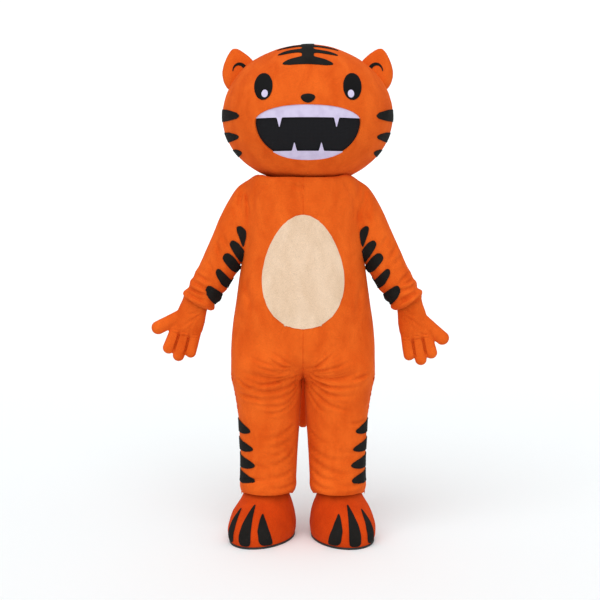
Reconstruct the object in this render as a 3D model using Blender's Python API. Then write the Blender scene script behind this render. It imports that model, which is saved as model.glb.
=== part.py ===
"""Tiger mascot costume: a foam head, a one-piece plush suit with a back zip, gloves and shoe covers.

Everything is in metres, +Z up, the front faces -Y and +X is the wearer's left. Heights in the
tables are above the floor. The origin is at the wearer's shoulders, which hold the costume up.
Every cloth piece is a thin wall on a lofted form, open at the neck, the cuffs and the hems.
"""

import math

import bmesh
import bpy
import numpy as np
from mathutils import Matrix, Vector

# Driving dimensions, in metres
SHOULDER_HEIGHT = 1.300
SEAM_GAP = 0.0003
CLOTH = 0.002
FOAM = 0.010
PATCH = 0.0012
PATCH_LIFT = 0.0008
SIDES = (("left", 1), ("right", -1))

# Head: an ellipsoid shell round its own centre
HEAD_CENTRE = Vector((0.018, 0.0, 1.640))
HEAD_HALF_WIDTH = 0.329
HEAD_HALF_DEPTH = 0.275
HEAD_CROWN = 0.271
HEAD_CHIN = 0.264
HEAD_RIM_SHARE = 0.38
HEAD_COLUMNS = 6
HEAD_ROWS = 10

MOUTH_HALF_WIDTH = 0.196
MOUTH_MIDDLE = -0.040
MOUTH_RISE = 0.058
MOUTH_DROP = 0.140
MOUTH_CUT_REACH = 0.40
MOUTH_POINTS = 28
SCREEN_RECESS = 0.0075
TOOTH_RECESS = 0.0032
FANG_HALF_WIDTH = 0.011
TOOTH_BANDS = (
    # name, upper, edge_height, fang_place, fang_length
    ("teeth_upper", True, -0.028, 0.105, 0.034),
    ("teeth_lower", False, -0.148, 0.050, 0.030),
)

EYE_PLACE = (0.162, 0.088)
EYE_HALF_SIZE = (0.034, 0.051)
EYE_LIFT = 0.0010
NOSE_PLACE = (0.0, 0.040)
NOSE_HALF_SIZE = (0.027, 0.018, 0.014)
NOSE_WIDENING = 0.28
EAR_PLACE = Vector((0.262, -0.008, 0.173))
EAR_HALF_SIZE = (0.072, 0.036, 0.092)
EAR_TILT = math.radians(14)
EAR_TAPER = 0.24
CUTTER_ALLOWANCE = 0.0015

# Forehead bars: height on the crown given by the distance in front of the head's centre
FOREHEAD_BARS = (
    # front, back, half_width
    (0.205, 0.172, 0.090),
    (0.150, 0.122, 0.108),
    (0.100, 0.074, 0.112),
)
FOREHEAD_BAND_HALF_WIDTH = 0.024
FOREHEAD_BAND_BACK = 0.010
FOREHEAD_LIFT = 0.0024

CHEEK_STRIPES = (
    # height, front_angle, back_angle, half_height
    (0.005, 57, 112, 0.024),
    (-0.080, 62, 110, 0.019),
    (-0.142, 68, 106, 0.014),
)

# Suit: half sections of the torso above the crotch, and of one leg below it
BODY_EXPONENT = 2.15
BODY_COLUMNS = ("height", "inner", "outer", "front", "back")
BODY = (
    (0.165, 0.034, 0.245, 0.122, 0.113),
    (0.225, 0.027, 0.247, 0.113, 0.112),
    (0.300, 0.023, 0.246, 0.111, 0.113),
    (0.380, 0.018, 0.250, 0.113, 0.117),
    (0.460, 0.012, 0.254, 0.118, 0.121),
    (0.540, 0.007, 0.264, 0.128, 0.131),
    (0.600, 0.002, 0.276, 0.140, 0.142),
    (0.625, 0.000, 0.281, 0.147, 0.148),
    (0.662, 0.000, 0.283, 0.157, 0.160),
    (0.704, 0.000, 0.282, 0.165, 0.169),
    (0.760, 0.000, 0.281, 0.173, 0.177),
    (0.850, 0.000, 0.273, 0.182, 0.176),
    (0.940, 0.000, 0.259, 0.185, 0.166),
    (1.062, 0.000, 0.241, 0.176, 0.153),
    (1.120, 0.000, 0.239, 0.171, 0.150),
    (1.180, 0.000, 0.239, 0.167, 0.149),
    (1.240, 0.000, 0.240, 0.162, 0.149),
    (1.300, 0.000, 0.240, 0.157, 0.149),
    (1.350, 0.000, 0.234, 0.153, 0.149),
    (1.383, 0.000, 0.221, 0.150, 0.147),
    (1.395, 0.000, 0.208, 0.148, 0.145),
    (1.401, 0.000, 0.188, 0.146, 0.142),
    (1.401, 0.000, 0.172, 0.140, 0.136),
    (1.396, 0.000, 0.154, 0.130, 0.127),
    (1.388, 0.000, 0.139, 0.120, 0.118),
)
BODY_PANEL_COLUMNS = 5
CROTCH_HEIGHT = 0.625
SPLIT_TOP = 0.760
UNDERARM_HEIGHT = 1.062
SHOULDER_TIP_HEIGHT = 1.395
ARMHOLE_HALF_DEPTH = 0.084
SLEEVE_GAP = 0.0006

# Sleeve: each ring runs from a point on the underarm line to one on the shoulder line
SLEEVE = (
    # inner_x, inner_z, outer_x, outer_z, half_depth
    (0.2470, 1.050, 0.250, 1.371, 0.0860),
    (0.2575, 1.035, 0.283, 1.325, 0.0855),
    (0.2680, 1.020, 0.312, 1.272, 0.0835),
    (0.2790, 1.004, 0.338, 1.213, 0.0805),
    (0.2900, 0.984, 0.364, 1.155, 0.0775),
    (0.3030, 0.964, 0.391, 1.094, 0.0745),
    (0.3190, 0.943, 0.422, 1.030, 0.0720),
    (0.3370, 0.916, 0.453, 0.974, 0.0700),
    (0.3580, 0.886, 0.472, 0.942, 0.0660),
)

BELLY_MIDDLE = 1.047
BELLY_HALF_SIZE = (0.154, 0.214)
BELLY_EGG = 0.17
BELLY_LIFT = 0.0014

LEG_STRIPES = (
    # height, reach_angle, half_height, drop
    (0.440, 58, 0.026, 0.012),
    (0.368, 63, 0.024, 0.010),
    (0.302, 66, 0.027, 0.008),
    (0.241, 66, 0.025, 0.006),
)

# Sleeve rings are numbered from 0 at the armhole seam to 9 at the cuff
ARM_STRIPES = (
    # tip_angle, tip_ring, base_angle, base_ring, half_width
    (88, 0.90, 126, -0.30, 0.44),
    (94, 2.35, 150, -0.10, 0.60),
    (94, 3.85, 172, 1.10, 0.70),
    (94, 5.45, 205, 4.05, 0.66),
    (92, 7.05, 205, 7.50, 0.62),
)
STRIPE_SEAM_MARGIN = 0.15

TAIL_RADIUS = 0.034
TAIL_ROUTE = (
    # back, height, radius_share
    (0.1795, 0.800, 1.00),
    (0.2150, 0.800, 1.00),
    (0.2500, 0.770, 0.98),
    (0.2680, 0.720, 0.96),
    (0.2730, 0.640, 0.95),
    (0.2710, 0.550, 0.95),
    (0.2660, 0.460, 0.94),
    (0.2630, 0.412, 0.88),
    (0.2615, 0.388, 0.68),
    (0.2605, 0.374, 0.36),
)

# Zip down the centre back, with a slider parked near the top
ZIP_HALF_WIDTH = 0.012
ZIP_FOOT = 0.850
ZIP_HEAD = 1.372
SLIDER_HEIGHT = 1.325
SLIDER_BASE = (0.0090, 0.0030, 0.0130)
SLIDER_LUG = (0.0020, 0.0062, 0.0060)
SLIDER_LUG_PLACE = 0.0034
SLIDER_LUG_SINK = 0.0008
SLIDER_EDGE = 0.0006
PIN_RADIUS = 0.0009
PIN_STAND = 0.0036
TAB_EYE_OUTER = 0.0027
TAB_EYE_INNER = 0.0014
TAB_EYE_WIDTH = 0.0036
TAB_SIZE = (0.0072, 0.0016, 0.0260)
TAB_BELOW_EYE = 0.0040
TAB_CORNER = 0.0024
TAB_NECK_SIZE = (0.0032, 0.0016, 0.0060)
TAB_NECK_BELOW_EYE = 0.0032

# Glove, in the hand's own axes: along runs from the wrist to the fingertips, across to the thumb
WRIST = {"left": Vector((0.417, 0.0, 0.907)), "right": Vector((0.421, 0.0, 0.917))}
HAND_TILT = {"left": math.radians(9), "right": math.radians(15)}
PALM = (
    # along, across, half_width, half_thickness
    (-0.040, 0.000, 0.042, 0.042),
    (0.000, 0.000, 0.044, 0.042),
    (0.030, 0.000, 0.048, 0.040),
    (0.062, 0.003, 0.055, 0.037),
    (0.098, 0.006, 0.061, 0.033),
    (0.126, 0.008, 0.056, 0.027),
    (0.142, 0.008, 0.042, 0.017),
)
PALM_SEGMENTS = 10
WRIST_CUT_REACH = 0.02
FINGERS = (
    # root_along, root_across, tip_along, tip_across, radius
    (0.105, -0.031, 0.192, -0.031, 0.0210),
    (0.105, 0.010, 0.216, 0.012, 0.0225),
    (0.105, 0.044, 0.196, 0.056, 0.0235),
)
THUMB = {"left": (0.062, 0.030, 0.146, 0.107, 0.0240), "right": (0.060, 0.028, 0.131, 0.117, 0.0240)}
FINGER_SEGMENTS = 8
FINGER_RINGS = 6

# Shoe cover, in the shoe's own axes: forward from the ankle to the toe
ANKLE_OUT = 0.142
TOE_OUT = {"left": math.radians(14), "right": math.radians(20)}
SOLE_THICKNESS = 0.008
SOLE_HALF_LENGTH = 0.177
SOLE_HALF_WIDTH = 0.119
SOLE_FORWARD = 0.050
SHOE_CLOTH = 0.003
SHOE = (
    # height, half_length, half_width, forward
    (0.0084, 0.175, 0.1175, 0.050),
    (0.036, 0.183, 0.1235, 0.050),
    (0.074, 0.178, 0.1205, 0.046),
    (0.112, 0.154, 0.1115, 0.034),
    (0.142, 0.123, 0.0975, 0.018),
    (0.170, 0.096, 0.0870, 0.004),
    (0.205, 0.086, 0.0835, 0.000),
)
SHOE_SEGMENTS = 16
TOE_STRIPES = (
    # foot_angle, tip_angle, half_angle, foot_height, tip_height
    (-38, -25, 11.0, 0.0125, 0.122),
    (0, -2, 11.0, 0.0125, 0.148),
    (37, 28, 10.5, 0.0125, 0.132),
)

# Colours in linear light, and roughness
FINISHES = {
    "orange_plush": ((0.82, 0.15, 0.018), 0.90),
    "shoe_plush": ((0.62, 0.060, 0.008), 0.90),
    "cream_plush": ((0.80, 0.58, 0.42), 0.90),
    "black_plush": ((0.012, 0.012, 0.012), 0.85),
    "black_mesh": ((0.010, 0.010, 0.012), 0.70),
    "white_felt": ((0.68, 0.63, 0.80), 0.85),
    "black_vinyl": ((0.008, 0.008, 0.009), 0.30),
    "sole_rubber": ((0.015, 0.015, 0.015), 0.60),
    "zip_cloth": ((0.55, 0.09, 0.012), 0.75),
    "zip_metal": ((0.60, 0.58, 0.54), 0.35),
}


def clear_scene():
    """Remove every object and mesh that the scene starts with."""
    for obj in list(bpy.data.objects):
        bpy.data.objects.remove(obj, do_unlink=True)
    for mesh in list(bpy.data.meshes):
        bpy.data.meshes.remove(mesh)


def new_collection(name, shown):
    """A collection in the scene; a hidden one holds cutters."""
    collection = bpy.data.collections.new(name)
    bpy.context.scene.collection.children.link(collection)
    collection.hide_render = not shown
    return collection


def finish_material(node_name, finish):
    """A material of this piece's own, with the finish's colour and roughness."""
    colour, roughness = FINISHES[finish]
    material = bpy.data.materials.new(f"{node_name}_{finish}")
    material.use_nodes = True
    shader = material.node_tree.nodes["Principled BSDF"]
    shader.inputs["Base Color"].default_value = (*colour, 1.0)
    shader.inputs["Roughness"].default_value = roughness
    shader.inputs["Metallic"].default_value = 1.0 if finish == "zip_metal" else 0.0
    return material


def add_piece(name, bm, finish, parent):
    """Turn a bmesh into a named, smooth-shaded object of the costume."""
    mesh = bpy.data.meshes.new(name)
    bm.to_mesh(mesh)
    bm.free()
    mesh.shade_smooth()
    mesh.set_sharp_from_angle(angle=math.radians(40))
    mesh.materials.append(finish_material(name, finish))
    obj = bpy.data.objects.new(name, mesh)
    COSTUME.objects.link(obj)
    obj.parent = parent
    return obj


def add_cutter(name, bm, parent):
    """Turn a bmesh into a cutter, which isn't part of the costume."""
    mesh = bpy.data.meshes.new(name)
    bm.to_mesh(mesh)
    bm.free()
    obj = bpy.data.objects.new(name, mesh)
    CUTTERS.objects.link(obj)
    obj.parent = parent
    obj.hide_render = True
    obj.display_type = "WIRE"
    return obj


def boolean(obj, cutter, operation):
    """Cut a piece with a cutter, or join the cutter to it."""
    modifier = obj.modifiers.new(cutter.name, "BOOLEAN")
    modifier.operation = operation
    modifier.solver = "EXACT"
    modifier.object = cutter


def datum(name, location, parent=None):
    """An empty that places the pieces of one sub-assembly."""
    empty = bpy.data.objects.new(name, None)
    COSTUME.objects.link(empty)
    empty.location = location
    empty.parent = parent
    return empty


def grid_normals(points, wraps):
    """Outward normals of a grid of points, from the differences between neighbours."""
    if wraps:
        across = np.roll(points, -1, axis=1) - np.roll(points, 1, axis=1)
    else:
        across = np.gradient(points, axis=1)
    along = np.gradient(points, axis=0)
    normals = np.cross(across, along)
    return normals / np.maximum(np.linalg.norm(normals, axis=2, keepdims=True), 1e-12)


def wall(points, thickness, wraps=False, normals=None, quadrant=None):
    """A closed cloth wall: an outer grid, the same grid moved in by the thickness, and rims.

    quadrant holds the signs of x and y that every point keeps, half a seam gap off those planes.
    """
    outer = np.array(points, float)
    if normals is None:
        normals = grid_normals(outer, wraps)
        middle = outer.mean(axis=(0, 1))
        if np.sum(normals * (outer - middle)) < 0:
            normals = -normals
    inner = outer - normals * thickness
    if quadrant:
        for layer in (outer, inner):
            for axis, sign in enumerate(quadrant):
                if sign:
                    layer[..., axis] = sign * np.maximum(sign * layer[..., axis], SEAM_GAP / 2)
    rows, columns = outer.shape[:2]
    bm = bmesh.new()
    made = [[[bm.verts.new(point) for point in row] for row in layer] for layer in (outer, inner)]
    steps = columns if wraps else columns - 1
    for layer in made:
        for r in range(rows - 1):
            for c in range(steps):
                d = (c + 1) % columns
                bm.faces.new((layer[r][c], layer[r][d], layer[r + 1][d], layer[r + 1][c]))
    for r in (0, rows - 1):
        for c in range(steps):
            d = (c + 1) % columns
            bm.faces.new((made[0][r][c], made[0][r][d], made[1][r][d], made[1][r][c]))
    if not wraps:
        for c in (0, columns - 1):
            for r in range(rows - 1):
                bm.faces.new((made[0][r][c], made[0][r + 1][c], made[1][r + 1][c], made[1][r][c]))
    bmesh.ops.remove_doubles(bm, verts=bm.verts, dist=1e-6)
    bmesh.ops.recalc_face_normals(bm, faces=bm.faces)
    return bm


def surface_frame(surface, p, q, step):
    """The point of a surface at (p, q), and the surface's unit normal there."""
    dp = np.subtract(surface(p + step[0], q), surface(p - step[0], q))
    dq = np.subtract(surface(p, q + step[1]), surface(p, q - step[1]))
    normal = np.cross(dp, dq)
    return np.array(surface(p, q)), normal / np.linalg.norm(normal)


def even_lines(outline, cell):
    """Cut lines that divide an outline's extent evenly into cells of about the given size."""
    lines = []
    for axis in (0, 1):
        values = [point[axis] for point in outline]
        count = math.ceil((max(values) - min(values)) / cell[axis])
        lines.append(np.linspace(min(values), max(values), count + 1)[1:-1])
    return lines


def patch(outline, surface, step, lines, lift=PATCH_LIFT, outward=1):
    """An applique: an outline in a surface's own coordinates, cut along lines and laid on it.

    Where the lines are those of the panel below, the patch bends only where the panel does.
    """
    flat = bmesh.new()
    flat.faces.new([flat.verts.new((p, q, 0)) for p, q in outline])
    for axis in (0, 1):
        low = min(point[axis] for point in outline)
        high = max(point[axis] for point in outline)
        margin = 0.02 * (high - low)
        for line in lines[axis]:
            if not low + margin < line < high - margin:
                continue
            place = Vector((0, 0, 0))
            place[axis] = line
            direction = Vector((0, 0, 0))
            direction[axis] = 1
            everything = flat.verts[:] + flat.edges[:] + flat.faces[:]
            bmesh.ops.bisect_plane(
                flat, geom=everything, dist=1e-7, plane_co=place, plane_no=direction
            )
    bmesh.ops.triangulate(flat, faces=flat.faces)
    bm = bmesh.new()
    low, high = {}, {}
    for vert in flat.verts:
        point, normal = surface_frame(surface, vert.co.x, vert.co.y, step)
        normal = normal * outward
        low[vert] = bm.verts.new(point + normal * lift)
        high[vert] = bm.verts.new(point + normal * (lift + PATCH))
    for face in flat.faces:
        bm.faces.new([high[vert] for vert in face.verts])
        bm.faces.new([low[vert] for vert in reversed(face.verts)])
    for edge in flat.edges:
        if len(edge.link_faces) == 1:
            a, b = edge.verts
            bm.faces.new((low[a], low[b], high[b], high[a]))
    flat.free()
    bmesh.ops.recalc_face_normals(bm, faces=bm.faces)
    return bm


def ellipse(half_width, half_height, centre=(0.0, 0.0), count=20):
    """Points round an ellipse."""
    turn = [2 * math.pi * k / count for k in range(count)]
    return [
        (centre[0] + half_width * math.cos(t), centre[1] + half_height * math.sin(t)) for t in turn
    ]


# Head


def head_point(azimuth, elevation):
    """A point of the head round its centre; azimuth 0 is the face, 90 the wearer's left."""
    a, e = math.radians(azimuth), math.radians(elevation)
    height = HEAD_CROWN if elevation > 0 else HEAD_CHIN
    return np.array(
        (
            HEAD_HALF_WIDTH * math.cos(e) * math.sin(a),
            -HEAD_HALF_DEPTH * math.cos(e) * math.cos(a),
            height * math.sin(e),
        )
    )


def head_elevations():
    """The elevations of the head's rows, from the rim of its neck opening to the crown."""
    rim = -math.degrees(math.acos(HEAD_RIM_SHARE))
    return np.linspace(rim, 90, HEAD_ROWS + 1)


def head_normal(point):
    """The outward normal of the head's ellipsoid at a point on it."""
    height = HEAD_CROWN if point[2] > 0 else HEAD_CHIN
    slope = np.divide(point, (HEAD_HALF_WIDTH**2, HEAD_HALF_DEPTH**2, height**2))
    return slope / np.linalg.norm(slope)


def face_surface(x, z):
    """The front of the head at a place across and a height, both from the head's centre."""
    height = HEAD_CROWN if z > 0 else HEAD_CHIN
    rest = 1 - (x / HEAD_HALF_WIDTH) ** 2 - (z / height) ** 2
    return (x, -HEAD_HALF_DEPTH * math.sqrt(max(rest, 0)), z)


def crown_surface(x, forward):
    """The top of the head at a place across and a distance forward of the head's centre."""
    rest = 1 - (x / HEAD_HALF_WIDTH) ** 2 - (forward / HEAD_HALF_DEPTH) ** 2
    return (x, -forward, HEAD_CROWN * math.sqrt(max(rest, 0)))


def cheek_surface(side):
    """The side of the head, by azimuth in degrees and height."""

    def surface(azimuth, z):
        height = HEAD_CROWN if z > 0 else HEAD_CHIN
        x, y, z = head_point(azimuth, math.degrees(math.asin(z / height)))
        return (side * x, y, z)

    return surface


def mouth_outline(shrink):
    """An open smile: a shallow arc above its widest line and a deep one below."""
    points = []
    for k in range(MOUTH_POINTS):
        t = 2 * math.pi * k / MOUTH_POINTS
        reach = MOUTH_RISE if math.sin(t) > 0 else MOUTH_DROP
        across = math.copysign(abs(math.cos(t)) ** 0.85, math.cos(t))
        points.append(
            (
                (MOUTH_HALF_WIDTH - shrink) * across,
                MOUTH_MIDDLE + (reach - shrink) * math.sin(t),
            )
        )
    return points


def tooth_band(edge_height, fang_place, fang_length, upper):
    """The part of the mouth beyond a level line, with two fangs standing on the line."""
    shrink = 2 * SEAM_GAP
    turn = 1 if upper else -1
    arc = [p for p in mouth_outline(shrink) if turn * (p[1] - edge_height) > 0.002]
    arc.sort(key=lambda point: point[0])
    fangs = []
    for x in (fang_place, -fang_place):
        fangs.append((x + FANG_HALF_WIDTH, edge_height))
        fangs.append((x, edge_height - turn * fang_length))
        fangs.append((x - FANG_HALF_WIDTH, edge_height))
    return arc + fangs


def make_head(stand):
    """The head's four panels with the mouth hole, ears, face and stripes."""
    elevations = head_elevations()
    mouth_cutter = bmesh.new()
    mouth_cutter.faces.new([mouth_cutter.verts.new((x, 0, z)) for x, z in mouth_outline(0)])
    extruded = bmesh.ops.extrude_face_region(mouth_cutter, geom=mouth_cutter.faces[:])
    moved = [item for item in extruded["geom"] if isinstance(item, bmesh.types.BMVert)]
    bmesh.ops.translate(mouth_cutter, verts=moved, vec=(0, -MOUTH_CUT_REACH, 0))
    bmesh.ops.recalc_face_normals(mouth_cutter, faces=mouth_cutter.faces)
    cutter = add_cutter("mouth_cutter", mouth_cutter, stand)

    for part, start, facing in (("front", 0, -1), ("back", 90, 1)):
        azimuths = np.linspace(start, start + 90, HEAD_COLUMNS + 1)
        for label, side in SIDES:
            points = np.array([[head_point(a, e) for a in azimuths] for e in elevations])
            normals = np.array([[head_normal(p) for p in row] for row in points])
            points[..., 0] *= side
            normals[..., 0] *= side
            bm = wall(points, FOAM, normals=normals, quadrant=(side, facing))
            panel = add_piece(f"head_{part}_{label}", bm, "orange_plush", stand)
            if part == "front":
                boolean(panel, cutter, "DIFFERENCE")

    head_cutter = bmesh.new()
    bmesh.ops.create_uvsphere(head_cutter, u_segments=48, v_segments=32, radius=1)
    for vert in head_cutter.verts:
        height = HEAD_CROWN if vert.co.z > 0 else HEAD_CHIN
        vert.co.x *= HEAD_HALF_WIDTH + CUTTER_ALLOWANCE
        vert.co.y *= HEAD_HALF_DEPTH + CUTTER_ALLOWANCE
        vert.co.z *= height + CUTTER_ALLOWANCE
    form_cutter = add_cutter("head_form_cutter", head_cutter, stand)
    make_ears(stand, form_cutter)
    make_face(stand, form_cutter)


def make_ears(stand, form_cutter):
    """Stuffed ears: lens shapes narrowing to a rounded tip, hollowed to sit on the head."""
    for label, side in SIDES:
        ear = bmesh.new()
        bmesh.ops.create_uvsphere(ear, u_segments=12, v_segments=8, radius=1)
        for vert in ear.verts:
            narrowing = 1 - EAR_TAPER * vert.co.z
            vert.co.x *= EAR_HALF_SIZE[0] * narrowing
            vert.co.y *= EAR_HALF_SIZE[1] * narrowing
            vert.co.z *= EAR_HALF_SIZE[2]
        bmesh.ops.rotate(ear, verts=ear.verts, matrix=Matrix.Rotation(side * EAR_TILT, 3, "Y"))
        place = Vector((side * EAR_PLACE.x, EAR_PLACE.y, EAR_PLACE.z))
        bmesh.ops.translate(ear, verts=ear.verts, vec=place)
        boolean(add_piece(f"ear_{label}", ear, "orange_plush", stand), form_cutter, "DIFFERENCE")


def make_face(stand, form_cutter):
    """Eyes, nose, mouth screen, teeth, forehead bars and cheek stripes."""
    small_step = (0.002, 0.002)
    for label, side in SIDES:
        outline = ellipse(*EYE_HALF_SIZE, centre=(side * EYE_PLACE[0], EYE_PLACE[1]), count=18)
        bm = patch(outline, face_surface, small_step, even_lines(outline, (0.035, 0.035)), lift=EYE_LIFT)
        add_piece(f"eye_{label}", bm, "black_vinyl", stand)

    nose = bmesh.new()
    bmesh.ops.create_uvsphere(nose, u_segments=12, v_segments=8, radius=1)
    x, y, z = face_surface(*NOSE_PLACE)
    for vert in nose.verts:
        widening = 1 + NOSE_WIDENING * vert.co.z
        vert.co.x *= NOSE_HALF_SIZE[0] * widening
        vert.co.y *= NOSE_HALF_SIZE[2]
        vert.co.z *= NOSE_HALF_SIZE[1]
    bmesh.ops.translate(nose, verts=nose.verts, vec=(x, y, z))
    boolean(add_piece("nose", nose, "black_plush", stand), form_cutter, "DIFFERENCE")

    outline = mouth_outline(2 * SEAM_GAP)
    lines = even_lines(outline, (0.065, 0.065))
    bm = patch(outline, face_surface, small_step, lines, lift=-SCREEN_RECESS)
    add_piece("mouth_screen", bm, "black_mesh", stand)
    for name, upper, edge, fang_place, fang_length in TOOTH_BANDS:
        outline = tooth_band(edge, fang_place, fang_length, upper)
        lines = even_lines(outline, (0.065, 0.08))
        bm = patch(outline, face_surface, small_step, lines, lift=-TOOTH_RECESS)
        add_piece(name, bm, "white_felt", stand)

    outline = forehead_outline()
    lines = even_lines(outline, (0.06, 0.045))
    bm = patch(outline, crown_surface, small_step, lines, lift=FOREHEAD_LIFT, outward=-1)
    add_piece("forehead_mark", bm, "black_plush", stand)
    azimuths = np.linspace(0, 180, 2 * HEAD_COLUMNS + 1)
    head_lines = (azimuths, [head_point(0, e)[2] for e in head_elevations()])
    for label, side in SIDES:
        for k, (height, front_angle, back_angle, half_height) in enumerate(CHEEK_STRIPES, 1):
            middle = (front_angle + back_angle) / 2
            half_angle = (back_angle - front_angle) / 2
            outline = ellipse(half_angle, half_height, (middle, height), count=12)
            bm = patch(outline, cheek_surface(side), (1, 0.002), head_lines, outward=side)
            add_piece(f"cheek_stripe_{label}_{k}", bm, "black_plush", stand)


def forehead_outline():
    """Three bars, widest in the middle, joined by a band that runs back over the crown."""
    right_side = []
    for front, back, half_width in FOREHEAD_BARS:
        middle = (front + back) / 2
        right_side += [
            (FOREHEAD_BAND_HALF_WIDTH, front),
            (half_width * 0.7, front - 0.004),
            (half_width, middle + 0.003),
            (half_width, middle - 0.004),
            (half_width * 0.75, middle - 0.010),
            (FOREHEAD_BAND_HALF_WIDTH, back),
        ]
    right_side.append((FOREHEAD_BAND_HALF_WIDTH, FOREHEAD_BAND_BACK))
    left_side = [(-x, forward) for x, forward in reversed(right_side)]
    return right_side + left_side


# Suit


def body_section(v):
    """The section at row v: its height, centre, half width, front, back and crotch share."""
    rows = range(len(BODY))
    height, inner, outer, front, back = (
        np.interp(v, rows, [row[c] for row in BODY]) for c in range(len(BODY_COLUMNS))
    )
    if height < CROTCH_HEIGHT:
        centre = (inner + outer) / 2
        return height, centre, outer - centre, front, back, 1.0
    share = np.clip((SPLIT_TOP - height) / (SPLIT_TOP - CROTCH_HEIGHT), 0, 1)
    centre = share * outer / (1 + share)
    return height, centre, outer - centre, front, back, share


def body_row(height):
    """The row number at a height, up to the shoulder tip."""
    rising = [row[0] for row in BODY if row[0] <= SHOULDER_TIP_HEIGHT]
    rising = rising[: rising.index(SHOULDER_TIP_HEIGHT) + 1]
    return np.interp(height, rising, range(len(rising)))


def rounded(value):
    """A cosine or sine raised to the section's superellipse power, keeping its sign."""
    return math.copysign(abs(value) ** (2 / BODY_EXPONENT), value)


def body_point(angle, v, side=1):
    """A point of the suit: angle 0 is the inseam, 90 the front, 180 the side, -90 the back."""
    height, centre, half_width, front, back, _ = body_section(v)
    a = math.radians(angle)
    depth = front if math.sin(a) > 0 else back
    x = centre - half_width * rounded(math.cos(a))
    return (side * x, -depth * rounded(math.sin(a)), height)


def armhole_depth(height):
    """Half the armhole's opening from front to back at a height."""
    middle = (UNDERARM_HEIGHT + SHOULDER_TIP_HEIGHT) / 2
    half = (SHOULDER_TIP_HEIGHT - UNDERARM_HEIGHT) / 2
    return ARMHOLE_HALF_DEPTH * math.sqrt(max(0, 1 - ((height - middle) / half) ** 2))


def make_body(floor):
    """The four panels of the suit, each a half front or back with its leg."""
    tip_row = body_row(SHOULDER_TIP_HEIGHT)
    for label, side in SIDES:
        for part, facing in (("front", 1), ("back", -1)):
            rows = []
            for v in range(len(BODY)):
                height, _, _, front, back, share = body_section(v)
                start = math.degrees(math.acos(share ** (BODY_EXPONENT / 2)))
                stop = 180
                if height > UNDERARM_HEIGHT and v < tip_row:
                    share_of_depth = armhole_depth(height) / (front if facing > 0 else back)
                    stop -= math.degrees(math.asin(share_of_depth ** (BODY_EXPONENT / 2)))
                angles = np.linspace(start, stop, BODY_PANEL_COLUMNS + 1)
                rows.append([body_point(facing * a, v, side) for a in angles])
            bm = wall(rows, CLOTH, quadrant=(side, -facing))
            add_piece(f"body_{part}_{label}", bm, "orange_plush", floor)


def armhole_angles():
    """Angles round the armhole, one at each body row that meets it, so that the edges match."""
    middle = (UNDERARM_HEIGHT + SHOULDER_TIP_HEIGHT) / 2
    half = (SHOULDER_TIP_HEIGHT - UNDERARM_HEIGHT) / 2
    first, last = int(body_row(UNDERARM_HEIGHT)), int(body_row(SHOULDER_TIP_HEIGHT))
    heights = [BODY[v][0] for v in range(first, last + 1)]
    front = [math.degrees(math.acos(np.clip((h - middle) / half, -1, 1))) for h in heights]
    return front[::-1] + [360 - a for a in front[1:-1]]


def sleeve_ring_point(ring, angle):
    """A point of one ring: angle 0 is on the shoulder line, 90 in front, 180 underarm."""
    a = math.radians(angle)
    if ring == 0:
        middle = (UNDERARM_HEIGHT + SHOULDER_TIP_HEIGHT) / 2
        half = (SHOULDER_TIP_HEIGHT - UNDERARM_HEIGHT) / 2
        z = middle + half * math.cos(a)
        y = -ARMHOLE_HALF_DEPTH * math.sin(a)
        _, centre, half_width, front, back, _ = body_section(body_row(z))
        depth = front if y < 0 else back
        x = centre + half_width * (1 - (abs(y) / depth) ** BODY_EXPONENT) ** (1 / BODY_EXPONENT)
        return np.array((x + SLEEVE_GAP, y, z))
    inner_x, inner_z, outer_x, outer_z, half_depth = SLEEVE[ring - 1]
    middle = np.array(((inner_x + outer_x) / 2, 0, (inner_z + outer_z) / 2))
    reach = np.array(((outer_x - inner_x) / 2, 0, (outer_z - inner_z) / 2))
    return middle + reach * math.cos(a) - np.array((0, half_depth, 0)) * math.sin(a)


def sleeve_surface(side):
    """The sleeve, by angle round it and ring number."""

    def surface(angle, ring):
        low = min(int(ring), len(SLEEVE) - 1)
        share = ring - low
        point = sleeve_ring_point(low, angle) * (1 - share)
        point = point + sleeve_ring_point(low + 1, angle) * share
        return (side * point[0], point[1], point[2])

    return surface


def make_sleeves(floor):
    """Set-in sleeves from the armhole to the cuff, with their stripes."""
    sleeve_lines = (sorted(armhole_angles()), range(len(SLEEVE) + 1))
    for label, side in SIDES:
        rows = [
            [sleeve_ring_point(ring, a) * np.array((side, 1, 1)) for a in armhole_angles()]
            for ring in range(len(SLEEVE) + 1)
        ]
        bm = wall(rows, CLOTH, wraps=True)
        add_piece(f"sleeve_{label}", bm, "orange_plush", floor)
        for k, row in enumerate(ARM_STRIPES, 1):
            bm = patch(leaf(*row), sleeve_surface(side), (2, 0.1), sleeve_lines, outward=side)
            add_piece(f"arm_stripe_{label}_{k}", bm, "black_plush", floor)


def leaf(tip_angle, tip_ring, base_angle, base_ring, half_width):
    """A leaf: rounded at its tip, widest near its base, and cut off short of the sleeve's seams."""
    low_limit, high_limit = STRIPE_SEAM_MARGIN, len(SLEEVE) - STRIPE_SEAM_MARGIN
    upper, lower = [], []
    for share, width in ((0.0, 0.26), (0.10, 0.52), (0.3, 0.80), (0.6, 1.0), (1.0, 0.9)):
        angle = tip_angle + share * (base_angle - tip_angle)
        ring = tip_ring + share * (base_ring - tip_ring)
        upper.append((angle, max(ring - width * half_width, low_limit)))
        lower.append((angle, min(max(ring + width * half_width, low_limit), high_limit)))
    if upper[-1] == lower[-1]:
        lower.pop()
    return upper + lower[::-1]


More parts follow.
